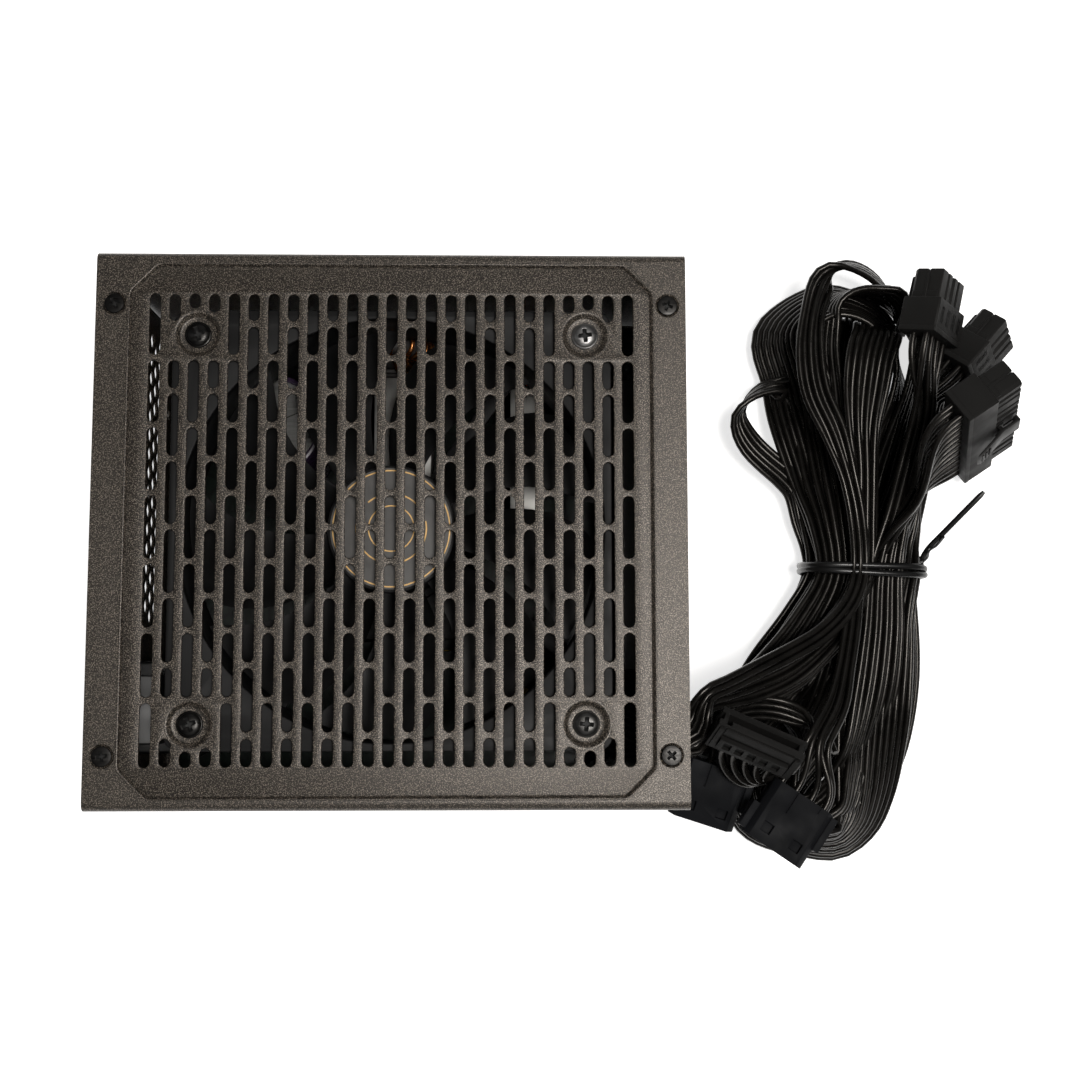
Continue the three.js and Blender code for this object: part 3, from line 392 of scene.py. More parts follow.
ROUTES = {
    "atx_a": (
        (57, -53, 10.4, 0, -1, 0, 0.7),
        (58.5, -54, 20, 0, -1, 0, 0.7),
        (63, -55.3, 29.5, 0, -1, 0, 0.7),
        (70, -56, 34.6, 0, -1, 0, 0.7),
        (78, -56, 35.4, 0, -1, 0, 0.7),
        (86, -56, 35, 0, -1, 0, 0.7),
        (94.26, -49.02, 29.5, 0.03, -0.956, -0.293, 0.5),
        (108.1, -45.15, 24.5, 0.455, -0.874, -0.17, 0.7),
        (117.9, -36.94, 20.5, 0.663, -0.747, -0.0556, 0.696),
        (128, -23.87, 18.25, 0.832, -0.554, -0.0293, 0.613),
        (135.9, -7.638, 17.25, 0.996, -0.0872, 0.0335, 0.5),
        (135, 9.344, 17, 0.933, -0.0382, 0.358, 0.591),
        (132.6, 24.01, 15.75, 0.84, -0.0147, 0.543, 0.832),
        (130.7, 38.81, 14.75, 0.752, -0.0304, 0.659, 0.97),
        (129.5, 53.39, 14, 0.723, -0.0651, 0.688, 0.999),
        (128.8, 67.23, 14, 0.694, -0.00229, 0.72, 1),
        (132.4, 79.19, 14, 0.584, 0.00818, 0.812, 1),
        (141.6, 84.43, 14, 0.315, -0.108, 0.943, 1),
        (152.1, 84.88, 13.8, 0.00798, -0.145, 0.989, 0.956),
        (158, 82, 13.5, -0.148, 0.0984, 0.984, 1),
        (164, 70, 13, -0.301, 0, 0.954, 1),
        (165, 54, 12, -0.503, 0, 0.865, 0.999),
        (162.9, 37, 10, -0.8, 0, 0.6, 0.989),
        (158.4, 18, 8, -0.981, 0, 0.196, 0.835),
        (154.4, -6, 6.6, -1, 0, 0, 0.664),
        (150.2, -28.27, 4.4, -1, 0, 0, 0.827),
        (141.6, -45.12, 3.6, -0.995, 0.0995, 0, 0.982),
        (129.9, -59.88, 4.6, -0.932, 0.201, 0.301, 0.998),
        (120.6, -72.43, 7.85, -0.756, 0.252, 0.605, 1),
        (117.1, -82.81, 11.2, -0.505, 0.303, 0.808, 1),
        (119.9, -90.48, 12.4, -0.203, 0.405, 0.891, 1),
        (127.8, -92.35, 12.6, -0.152, 0.426, 0.892, 1),
        (136.6, -91.9, 11.4, -0.408, 0.408, 0.816, 1),
        (142.3, -85.93, 12, -0.673, 0.306, 0.673, 1),
        (144.8, -76.46, 13.2, -0.873, 0.154, 0.462, 1),
        (146, -63.85, 14.8, -0.974, 0.0502, 0.221, 0.999),
        (147.2, -49.06, 16.4, -1, 0, 0, 0.989),
        (149.4, -33.32, 17.2, -1, 0, 0, 0.887),
        (151.4, -19.73, 17.4, -1, 0, 0, 0.767),
        (154.7, -6, 17, -1, 0, 0, 0.714),
        (156.5, 2, 18, -0.796, 0.0995, 0.597, 0.761),
        (159.3, 11, 21, -0.306, 0.255, 0.917, 0.889),
    ),
    "atx_b": (
        (61, -53, 10.4, 0, -1, 0, 0.7),
        (62, -54, 19, 0, -1, 0, 0.7),
        (65.5, -55.3, 27, 0, -1, 0, 0.7),
        (71, -56, 30.8, 0, -1, 0, 0.7),
        (78, -56, 31.4, 0, -1, 0, 0.7),
        (86, -56, 31, 0, -1, 0, 0.7),
        (95, -56, 26.5, 0.03, -0.956, -0.293, 0.5),
        (105.3, -52, 20.5, 0.455, -0.874, -0.17, 0.707),
        (115.4, -42, 16.6, 0.663, -0.747, -0.0556, 0.708),
        (127.8, -24, 14.6, 0.832, -0.554, -0.0293, 0.613),
        (136.5, -6, 13.8, 0.996, -0.0872, 0.0335, 0.5),
        (134.7, 10, 13.2, 0.97, 0, 0.25, 0.593),
        (131.8, 26, 12.6, 0.97, 0, 0.25, 0.839),
        (128.1, 42, 12.6, 0.97, 0, 0.25, 0.973),
        (124.5, 57, 13, 0.8, 0, 0.6, 1),
        (121.5, 71, 13.2, 0.8, 0, 0.6, 1),
        (127.5, 78.5, 13.2, 0.499, -0.399, 0.769, 1),
        (136.8, 82.4, 13.2, 0, -0.622, 0.783, 1),
        (146.4, 80.2, 13.2, -0.363, -0.464, 0.808, 1),
        (154.2, 74, 13, -0.55, -0.15, 0.82, 1),
        (158, 63, 12.4, -0.301, 0, 0.954, 1),
        (159.5, 50, 11, -0.503, 0, 0.865, 0.998),
        (158.4, 36, 8.6, -0.8, 0, 0.6, 0.987),
        (156.1, 18, 5.6, -0.981, 0, 0.196, 0.835),
        (153.9, -6, 3.6, -1, 0, 0, 0.664),
        (144, -28.25, 4, -1, 0, 0, 0.79),
        (133.6, -44.45, 5, -0.913, 0.355, -0.203, 0.932),
        (122, -57.14, 8.8, -0.722, 0.309, -0.619, 0.996),
        (110.7, -68.07, 11, -0.507, 0, -0.862, 0.999),
        (105.3, -75.83, 12, -0.352, -0.302, -0.886, 1),
        (108.7, -84.87, 12.2, -0.1, -0.5, -0.86, 1),
        (118.7, -89.55, 12.4, 0.0999, -0.55, -0.829, 1),
        (130.7, -89.9, 12.4, 0.303, -0.505, -0.808, 1),
        (140.7, -84.32, 12.4, 0.517, -0.362, -0.776, 1),
        (145.8, -72.78, 12.2, 0.764, -0.204, -0.612, 1),
        (149.7, -58.64, 12, 0.936, 0, -0.352, 0.997),
        (152.9, -38.04, 12.6, 0.989, 0, -0.148, 0.915),
        (153.9, -6, 13.2, 1, 0, 0, 0.705),
        (156.1, 3, 13.2, 0.796, -0.0995, -0.597, 0.764),
        (157.8, 12, 14.5, 0.306, -0.255, -0.917, 0.895),
    ),
    "pcie": (
        (60, -60, 10.4, 0, -1, 0, 1),
        (61, -58, 22, 0, -1, 0, 1),
        (65, -56.5, 34, 0, -1, 0, 1),
        (71, -56, 38.4, 0, -1, 0, 1),
        (78, -56, 39.2, 0, -1, 0, 1),
        (86, -56, 39, 0, -1, 0, 1),
        (90.87, -47.93, 38.5, 0.0385, -0.933, -0.359, 0.5),
        (97.41, -45.9, 35.25, 0.0803, -0.968, -0.236, 0.613),
        (107.4, -42.63, 30.5, -0.0247, -0.997, -0.0683, 0.882),
        (118.1, -38.21, 27.5, 0.144, -0.987, -0.0684, 0.868),
        (127.6, -31.41, 25.25, 0.286, -0.957, -0.0397, 0.708),
        (135.5, -23.42, 23.2, 0.341, -0.94, 0, 0.592),
        (140.6, -15.2, 21.6, 0.525, -0.851, 0, 0.5),
        (143.8, -5.326, 20.4, 1, 0.000685, 0, 0.5),
        (144.1, 9.125, 22, 1, 0.00139, 0, 0.5),
        (144.2, 24.84, 23.6, 1, 0.00215, 0, 0.5),
        (143.8, 38.98, 25, 1, 0.00285, 0, 0.69),
        (144.8, 50.87, 25.7, 1, 0.0222, 0.0134, 0.92),
        (146.6, 62.6, 26.5, 0.998, 0.0596, 0.0121, 1),
        (148.8, 68.25, 25.2, 0.997, 0.075, 0.0237, 1),
        (150.1, 71.48, 21.4, 0.997, -0.0797, 0, 1),
        (151.1, 72.75, 16.4, 0.998, -0.0599, 0, 1),
        (151.2, 70.52, 12, 1, -0.03, 0, 1),
        (150.8, 65.11, 8, 1, 0, 0, 1),
        (147, 58, 4.2, 1, 0, 0, 1),
        (143.1, 38, 3.4, 1, 0, 0, 0.99),
        (140.5, 16, 5.2, 1, 0, 0, 0.734),
        (139, -6, 7.4, 1, 0, 0, 0.581),
        (135.6, -22, 5, 0.981, -0.196, 0, 0.795),
        (129.7, -40, 4, 0.928, -0.309, 0.206, 0.969),
        (123.6, -55, 6.417, 0.596, -0.298, 0.745, 0.995),
        (120, -69, 10.5, 0.301, 0, 0.954, 1),
        (121.5, -80, 11.2, 0, 0.301, 0.954, 1),
        (129, -85.5, 11.5, -0.1, 0.35, 0.931, 1),
        (137, -80.5, 11.2, -0.355, 0.203, 0.913, 1),
        (142.3, -69, 10.2, -0.597, 0.0995, 0.796, 1),
        (146, -53, 9, -0.824, 0, 0.567, 0.994),
        (149.1, -36, 8.2, -0.954, 0, 0.301, 0.955),
        (151, -20, 9, -0.995, 0, 0.0995, 0.873),
        (151.9, -6, 9.9, -1, 0, 0, 0.664),
        (155.4, 8, 10.4, -0.981, 0, 0.196, 0.786),
        (160.5, 22, 12.5, -0.858, 0.101, 0.504, 0.947),
        (163.6, 35, 17.5, -0.596, 0.298, 0.745, 0.986),
        (164.9, 44, 23.5, -0.449, 0.359, 0.818, 0.996),
    ),
    "cpu": (
        (56, -60, 10.4, 0, -1, 0, 1),
        (57.5, -58, 17, 0, -1, 0, 1),
        (63, -56.5, 25, 0, -1, 0, 1),
        (70, -56, 28, 0, -1, 0, 1),
        (78, -56, 28.4, 0, -1, 0, 1),
        (86, -56, 27.8, 0, -1, 0, 1),
        (96, -55, 22.5, 0.0995, -0.995, 0, 1),
        (106.4, -50, 16.5, 0.486, -0.874, 0, 0.99),
        (117.2, -39, 12.6, 0.824, -0.567, 0, 0.869),
        (129.8, -22, 10.8, 0.954, -0.301, 0, 0.663),
        (139, -6, 10.8, 1, 0, 0, 0.581),
        (139.5, 10, 9.8, 1, 0, 0, 0.795),
        (137.9, 28, 9.6, 1, 0, 0, 0.969),
        (138, 46, 10, 1, 0, 0, 0.997),
        (139.5, 60, 10.6, 1, 0, 0, 1),
        (141, 70, 10.8, 1, 0, 0, 1),
        (142, 76, 9.4, 1, 0, 0, 1),
        (142.3, 77.8, 6.9, 1, 0, 0, 1),
        (142, 75.8, 4.4, 1, 0, 0, 1),
        (142, 68, 2.7, 1, 0, 0, 1),
        (143, 54, 2.4, 1, 0, 0, 0.999),
        (144.1, 38, 2.4, 1, 0, 0, 0.99),
        (142.7, 18, 2.9, 1, 0, 0, 0.881),
        (138.6, -6, 4.2, 1, 0, 0, 0.622),
        (133.8, -22, 2.8, 0.981, -0.196, 0, 0.795),
        (126, -38, 3, 0.914, -0.406, 0, 0.963),
        (116.8, -52, 6, 0.699, -0.3, 0.649, 0.993),
        (110.5, -65, 9.4, 0.447, 0, 0.894, 0.999),
        (110.5, -76, 10, 0.551, 0.451, 0.702, 1),
        (118.5, -83.5, 10, 0.101, 0.858, 0.504, 1),
        (129, -83, 10.4, -0.353, 0.788, 0.505, 1),
        (136.5, -76, 12, -0.761, 0.406, 0.507, 1),
        (142.5, -63, 15.5, -0.8, 0, 0.6, 0.999),
        (147.1, -46, 18.6, -0.967, 0, 0.254, 0.984),
        (149.8, -26, 19.8, -0.999, 0, 0.0499, 0.861),
        (151.2, -6, 19.9, -1, 0, 0, 0.714),
        (155, 11.63, 22.5, -1, -0.00151, 0, 0.5),
        (157.7, 24.43, 26.6, -1, -0.00215, 0, 0.5),
        (160.1, 35.28, 30, -1, -0.00271, 0, 0.5),
    ),
    "molex": (
        (64, -49, 10.4, 0, -1, 0, 1),
        (64.5, -51, 24, 0, -1, 0, 1),
        (67, -54, 37, 0, -1, 0, 1),
        (72, -56, 41.4, 0, -1, 0, 1),
        (78, -56, 42, 0, -1, 0, 1),
        (86, -56, 41.8, 0, -1, 0, 1),
        (90.25, -45.47, 43.2, -0.000568, -0.996, -0.0845, 0.5),
        (96.98, -42.26, 40.3, 0.129, -0.984, -0.124, 0.5),
        (108.1, -37.25, 34.75, 0.17, -0.981, -0.0929, 0.5),
        (117.8, -32.74, 31.3, 0.251, -0.967, -0.0423, 0.5),
        (128.1, -27, 28.2, 0.166, -0.986, 0, 0.5),
        (136.2, -19.63, 25.6, 0.513, -0.859, 0, 0.5),
        (140.3, -12.83, 24, 0.893, -0.45, 0, 0.5),
        (142, -5.499, 22.6, 1, 0.000685, 0, 0.5),
        (140.7, 9.08, 25.2, 0.991, 0.133, 0, 0.5),
        (138, 21.82, 26.8, 0.978, 0.208, 0, 0.5),
        (133.4, 36.54, 27.8, 0.975, 0.22, 0, 0.835),
        (128.1, 49.06, 28, 0.971, 0.239, 0, 0.932),
        (126.5, 63.24, 28.2, 0.977, 0.215, 0, 0.889),
        (128, 75.41, 27.8, 0.989, 0.137, -0.0492, 0.767),
        (131, 84.22, 27, 0.868, 0.202, -0.454, 1),
        (135, 88.75, 25.5, 0.549, 0.35, -0.759, 1),
        (140.4, 90.76, 23.2, 0.3, 0.45, -0.841, 1),
        (146.3, 90.26, 20, 0.2, 0.501, -0.842, 1),
        (152.2, 87.47, 16, 0.249, 0.449, -0.858, 1),
        (157.4, 82.92, 12, 0.202, 0.202, -0.958, 1),
        (161.7, 76.34, 9, 0.102, 0, -0.995, 1),
        (170, 76, 7, -0.202, -0.202, -0.958, 1),
        (171.5, 60, 6, -0.707, 0, -0.707, 1),
        (169.9, 42, 5.2, -0.954, 0, -0.301, 0.994),
        (164.9, 24, 6, -1, 0, 0, 0.955),
        (157.1, 8, 10.5, -1, 0, 0, 0.698),
        (150.2, -2, 15, -1, 0, 0, 0.5),
        (146.6, -7, 17.6, -1, 0, 0, 0.5),
        (140.7, -13.06, 22.6, -1, -0.000322, 0, 0.5),
        (138.2, -24.77, 26, -1, 0.000237, 0, 0.5),
        (135, -37.47, 30, -1, 0.000853, 0, 0.501),
        (131.2, -48.66, 34.25, -0.994, 0.0836, 0.0671, 0.674),
        (125.9, -56.93, 37.5, -0.918, 0.376, 0.124, 0.754),
    ),
    "sata": (
        (66, -59, 10.4, 0, -1, 0, 1),
        (66.5, -58, 15, 0, -1, 0, 1),
        (68.5, -56.5, 23, 0, -1, 0, 1),
        (72.5, -56, 25.6, 0, -1, 0, 1),
        (78, -56, 26, 0, -1, 0, 1),
        (86, -56, 25.4, 0, -1, 0, 1),
        (95, -54, 19, 0.196, -0.981, 0, 1),
        (104.7, -47, 13, 0.6, -0.8, 0, 0.986),
        (114.1, -34, 9.6, 0.862, -0.507, 0, 0.947),
        (123.5, -20, 9.6, 0.954, -0.301, 0, 0.698),
        (130.3, -6, 10.8, 1, 0, 0, 0.5),
        (130.1, 8, 9.4, 1, 0, 0, 0.698),
        (127.6, 24, 7, 1, 0, 0, 0.955),
        (123.7, 40, 6.6, 0.928, 0.206, 0.309, 0.993),
        (119, 53, 9, 0.505, 0.303, 0.808, 0.999),
        (121.8, 53.92, 13, 0.0999, 0.55, -0.829, 0.999),
        (116.5, 53.47, 13.5, 0.0999, 0.55, -0.829, 0.999),
        (111.6, 51.12, 13.6, 0.2, 0.45, -0.87, 0.999),
        (108, 47.51, 13.5, 0.302, 0.302, -0.905, 0.998),
        (106.3, 43.66, 13, 0.55, 0.0999, -0.829, 0.996),
        (107.3, 39.5, 12.4, 0.745, 0.298, -0.596, 0.992),
        (110.5, 34.33, 12, 0.727, 0.555, -0.404, 0.985),
        (115.5, 29.52, 11.4, 0.691, 0.63, -0.355, 0.974),
        (120.7, 25.42, 10.4, 0.684, 0.684, -0.252, 0.961),
        (125.5, 20.32, 9.4, 0.824, 0.567, 0, 0.939),
        (127.6, 10, 8, 0.954, 0.301, 0, 0.707),
        (129.9, 2, 7.4, 1, 0, 0, 0.592),
        (130.3, -6, 7.4, 1, 0, 0, 0.5),
        (125.7, -20, 5.4, 0.954, -0.301, 0, 0.742),
        (116.6, -36, 4.4, 0.862, -0.507, 0, 0.955),
        (108, -48, 5, 0.884, -0.468, 0, 0.987),
        (102.8, -56.5, 6.6, 0.914, -0.406, 0, 0.996),
    ),
}


def unit(v):
    return Vector(v).normalized()


def along_route(route, step=2.6):
    rows, length = spline(route, step)
    out = []
    for i, r in enumerate(rows):
        c = Vector(r[:3])
        t = (Vector(rows[min(i + 1, len(rows) - 1)][:3]) - Vector(rows[max(i - 1, 0)][:3])).normalized()
        w = Vector(r[3:6])
        w = (w - t * w.dot(t)).normalized()
        out.append((c, t, w, t.cross(w), min(1.0, max(0.5, r[6]))))
    return out, length


def ribbon(name, count, route, pitch=2.0, radius=1.03, seed=1):
    """A flat ribbon of joined wires along a route. Where it is drawn together its wires lie in two staggered layers."""
    rg = random.Random(seed)
    line, length = along_route(route)
    b = Build()
    ends = [[], []]
    phase = [rg.uniform(0, 6.28) for _ in range(count)]
    freq = [rg.uniform(0.055, 0.11) for _ in range(count)]
    for j in range(count):
        s = (j - (count - 1) / 2) * pitch
        pts = []
        for i, (c, t, w, n, wf) in enumerate(line):
            d = i * length / (len(line) - 1)
            stag = math.sqrt(max(0.0, 1 - wf * wf)) * pitch * 0.5 * (1 if j % 2 else -1)
            wave = (0.16 + 0.30 * (1 - wf)) * math.sin(freq[j] * d + phase[j])
            pts.append(c + w * (s * wf) + n * (stag + wave))
        vs, fs = [], []
        for i, p in enumerate(pts):
            t = (pts[min(i + 1, len(pts) - 1)] - pts[max(i - 1, 0)]).normalized()
            w = line[i][2]
            w = (w - t * w.dot(t)).normalized()
            n = t.cross(w)
            for q in range(8):
                a = 2 * math.pi * (q + 0.5) / 8
                vs.append(p + w * (radius * math.cos(a)) + n * (radius * math.sin(a)))
        for i in range(len(pts) - 1):
            for q in range(8):
                k = (q + 1) % 8
                fs.append((i * 8 + q, i * 8 + k, (i + 1) * 8 + k, (i + 1) * 8 + q))
        fs.append(tuple(reversed(range(8))))
        fs.append(tuple(range((len(pts) - 1) * 8, len(pts) * 8)))
        b.add(vs, fs)
        ends[0].append((pts[0], line[0][1]))
        ends[1].append((pts[-1], (pts[-1] - pts[-2]).normalized()))
    ob = b.piece(name, CABLE, "cable_pvc", angle=80)
    return ob, [r[0] for r in line], length, ends


def fan_out(name, starts, targets, radius=1.0, ease=0.42):
    """Single wires from the ribbon's end, each into its own place in a plug."""
    b = Build()
    for (p, t), (q, u) in zip(starts, targets):
        d = (q - p).length
        h = d * ease
        pts = []
        for i in range(15):
            x = i / 14
            a, c = p + t * h, q - u * h
            pts.append(p * (1 - x) ** 3 + a * (3 * x * (1 - x) ** 2) + c * (3 * x * x * (1 - x)) + q * x ** 3)
        pts.append(q + u * 3.0)
        b.sweep([p - t * 1.5] + pts, radius, 8, up=(0.3, 0.2, 1))
    return b.piece(name, CABLE, "cable_pvc", angle=80)


def plug_frame(origin, mating, along):
    m_, a_ = unit(mating), Vector(along)
    a_ = (a_ - m_ * a_.dot(m_)).normalized()
    y_ = m_.cross(a_)
    mat4 = Matrix((a_, y_, m_)).transposed().to_4x4()
    mat4.translation = Vector(origin)
    return mat4


PLUGS = {
    "atx24": (12, 1, plug_frame((171.6, 33.6, 28.4), (0.8245, 0.5561, 0.1045), (-0.187, 0.277, 0.943))),
    "cpu": (4, -1, plug_frame((160.6, 63.2, 39.5), (0.208, 0.978, 0.03), (-0.616, 0.131, 0.777))),
    "pcie": (4, -1, plug_frame((173.9, 55.4, 25.8), (0.66, 0.75, 0.05), (-0.41, 0.36, 0.84))),
}
SATA1 = plug_frame((102.6, -62.6, 43.5), (0.221, 0.503, 0.835), (0.915, -0.402, 0))
SATA2 = plug_frame((98.3, -65.5, 10.5), (-0.38, -0.78, 0.5), (0.9, -0.43, 0))
MOLEX1 = plug_frame((119.9, -75.6, 37.0), (-0.56, -0.83, 0), (0.83, -0.56, 0))
MOLEX2 = plug_frame((96.0, -66.5, 27.5), (-0.30, -0.93, -0.2), (0.62, -0.2, 0.0))


def entries(at, cells, z=-0.6):
    """Where wires enter a plug from behind, and the way they go."""
    u = (at.to_3x3() @ Vector((0, 0, 1))).normalized()
    return [(at @ Vector((x, y, z)), u) for x, y in cells]


def matched(starts, targets):
    """Pairs ends with places so that wires cross each other as little as they can."""
    axis = (targets[-1][0] - targets[0][0])
    s = sorted(starts, key=lambda e: e[0].dot(axis))
    t = sorted(targets, key=lambda e: e[0].dot(axis))
    return s, t


CORDS = {}
for name, count, seed in (("atx_a", 12, 3), ("atx_b", 12, 5), ("cpu", 8, 8), ("pcie", 8, 11), ("molex", 5, 14), ("sata", 5, 17)):
    CORDS[name] = (count, *ribbon(name + "_ribbon", count, ROUTES[name], seed=seed))

PITCH = 4.2


def two_rows(columns, rows=(-1, 1)):
    return [((c - (columns - 1) / 2) * PITCH, r * 2.1) for c in range(columns) for r in rows]


for name, row in (("atx_a", 1), ("atx_b", -1)):
    t = entries(PLUGS["atx24"][2], two_rows(12, (row,)))
    s, t = matched(CORDS[name][4][1], t)
    fan_out(name + "_wires", s, t)
for name in ("cpu", "pcie"):
    s, t = matched(CORDS[name][4][1], entries(PLUGS[name][2], two_rows(4)))
    fan_out(name + "_wires", s, t)
t = entries(MOLEX1, [(x, y) for x, y in ((-7.62, 0), (-2.54, 0), (2.54, 0), (7.1, 0.9), (8.2, -1.1))])
s, t = matched(CORDS["molex"][4][1], t)
fan_out("molex_wires", s, t)
t = entries(SATA2, [(-7.6 + i * 3.8, -1.2) for i in range(5)])
s, t = matched(CORDS["sata"][4][1], t)
fan_out("sata_wires", s, t)


def link_wires(name, route, count, at, cells, radius=1.0, start=None):
    """A short ribbon between two plugs on the same cable."""
    line, length = along_route(route, 2.4)
    b = Build()
    ends = []
    for j in range(count):
        s = (j - (count - 1) / 2) * 2.0
        pts = [c + w * (s * wf) for c, tt, w, n, wf in line]
        b.sweep(pts, radius, 8, up=line[0][3])
        ends.append((pts[-1], (pts[-1] - pts[-2]).normalized()))
    s, t = matched(ends, entries(at, cells))
    for (p, tt), (q, u) in zip(s, t):
        h = (q - p).length * 0.4
        pts = [p - tt * 1.5]
        for i in range(11):
            x = i / 10
            pts.append(p * (1 - x) ** 3 + (p + tt * h) * (3 * x * (1 - x) ** 2) + (q - u * h) * (3 * x * x * (1 - x)) + q * x ** 3)
        pts.append(q + u * 3)
        b.sweep(pts, radius, 8, up=(0.3, 0.2, 1))
    return b.piece(name, CABLE, "cable_pvc", angle=80)


sata_link = link_wires("sata_link", [(98, -64, 12, -.9, .4, 0, 1), (106, -53, 12, -.8, .5, .2, 1), (116, -52, 15, -.5, .2, .8, 1), (121.5, -60, 22, 0, .3, .95, 1), (117, -69, 29, .4, .3, .85, 1), (107.5, -71.5, 34.5, .9, .3, .2, 1)], 5, SATA1, [(-7.6 + i * 3.8, -1.2) for i in range(5)])
molex_link = link_wires("molex_link", [(128, -63, 34, -.8, .5, 0, 1), (126, -56, 30, -.8, .5, .2, 1), (116, -50.5, 28, -.2, .9, .3, 1), (104, -50, 30, 0, .9, .3, 1), (95.5, -54, 33, .3, .5, .75, 1)], 4, MOLEX2, [(-7.62 + i * 5.08, 0) for i in range(4)])

# twist tie: two turns of thin coated wire side by side round the waist, ends twisted, one end sticking out
b = Build()
ring = []
for i in range(48):
    a = 2 * math.pi * i / 48
    # a flattened oval, lower at the sides
    x = 145.2 + 19.4 * math.copysign(abs(math.cos(a)) ** 0.62, math.cos(a))
    z = 12.35 + 11.2 * math.copysign(abs(math.sin(a)) ** 0.72, math.sin(a))
    ring.append((x, 0, z))
for k, dy in enumerate((-5.35, -7.25)):
    pts = [(x + 0.25 * math.sin(i * 0.4 + k), dy + 0.35 * math.sin(i * 0.26 + 2 * k) - (x - 145.2) * 0.045, z + 0.2 * math.sin(i * 0.5 + k)) for i, (x, _, z) in enumerate(ring)]
    b.sweep(pts + [pts[0]], 0.92, 8, flat=1.15, up=(1, 0, 0.2), caps=False)
tail, _ = spline([(163.6, -7.0, 9, 0), (164.6, -3.6, 11, 0), (166.6, 0.6, 13, 0), (170.6, 5.2, 15.4, 0), (176, 11.2, 18.6, 0), (182.4, 18.2, 22, 0)], 1.6)
b.sweep([p[:3] for p in tail], [0.95] * (len(tail) - 2) + [0.9, 0.62], 8, up=(0, 0, 1))
knot, _ = spline([(163.4, -5.0, 8.4, 0), (165.4, -5.4, 10, 0), (164.6, -3.4, 12.2, 0), (166.6, -1.6, 11.2, 0), (166.4, 0.4, 14, 0), (169.2, 2.2, 13.2, 0), (170.6, 4.6, 16.2, 0)], 0.8)
b.sweep([p[:3] for p in knot], 0.85, 8, up=(0, 0, 1))
TIE = b.piece("wire_tie", TIEM, "tie_pvc", replaces=("twist_tie",), angle=60)

# ------------------------------------------------------------------ plugs
def solid_object(name, build):
    me = bpy.data.meshes.new(name)
    me.from_pydata([tuple(c * S for c in v) for v in build.v], [], build.f)
    me.validate()
    me.update()
    bm = bmesh.new()
    bm.from_mesh(me)
    bmesh.ops.recalc_face_normals(bm, faces=bm.faces)
    bm.to_mesh(me)
    bm.free()
    ob = bpy.data.objects.new(name, me)
    scene.collection.objects.link(ob)
    return ob


def applied(ob):
    """The object's mesh with its modifiers in it."""
    dg = bpy.context.evaluated_depsgraph_get()
    me = bpy.data.meshes.new_from_object(ob.evaluated_get(dg))
    old = ob.data
    ob.modifiers.clear()
    ob.data = me
    bpy.data.meshes.remove(old)
    me.name = ob.name
    return ob


def hard(name, build, mat, body="case", replaces=(), cuts=(), adds=(), bevel=0.2, seg=2, at=None, angle=32, first=()):
    """A moulded or machined piece: a solid, less its cuts, with every sharp edge rounded."""
    ob = solid_object(name, build)
    for k, (tool, mode) in enumerate([(a, "UNION") for a in first] + [(c, "DIFFERENCE") for c in cuts] + [(a, "UNION") for a in adds]):
        other = solid_object(f"{name}_tool{k}", tool)
        md = ob.modifiers.new("b", "BOOLEAN")
        md.operation, md.solver, md.object = mode, "EXACT", other
        applied(ob)
        bpy.data.objects.remove(other)
    if at is not None:
        mt = at.copy()
        mt.translation *= S
        ob.data.transform(mt)
    if bevel:
        md = ob.modifiers.new("r", "BEVEL")
        md.width, md.segments, md.limit_method, md.angle_limit = bevel * S, seg, "ANGLE", math.radians(38)
        md.use_clamp_overlap = True
        md.harden_normals = False
        applied(ob)
    ob.data.materials.clear()
    ob.data.materials.append(mat)
    for poly in ob.data.polygons:
        poly.use_smooth = True
    ob.data.set_sharp_from_angle(angle=math.radians(angle))
    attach(ob, body)
    if replaces:
        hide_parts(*replaces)
    return ob


def bx(x0, x1, y0, y1, z0, z1):
    b = Build()
    b.prism([(x0, y0), (x1, y0), (x1, y1), (x0, y1)], z0, z1)
    return b


def merge(*builds):
    out = Build()
    for one in builds:
        out.add(one.v, one.f)
    return out


HOOD, NOSE = 10.6, 9.2


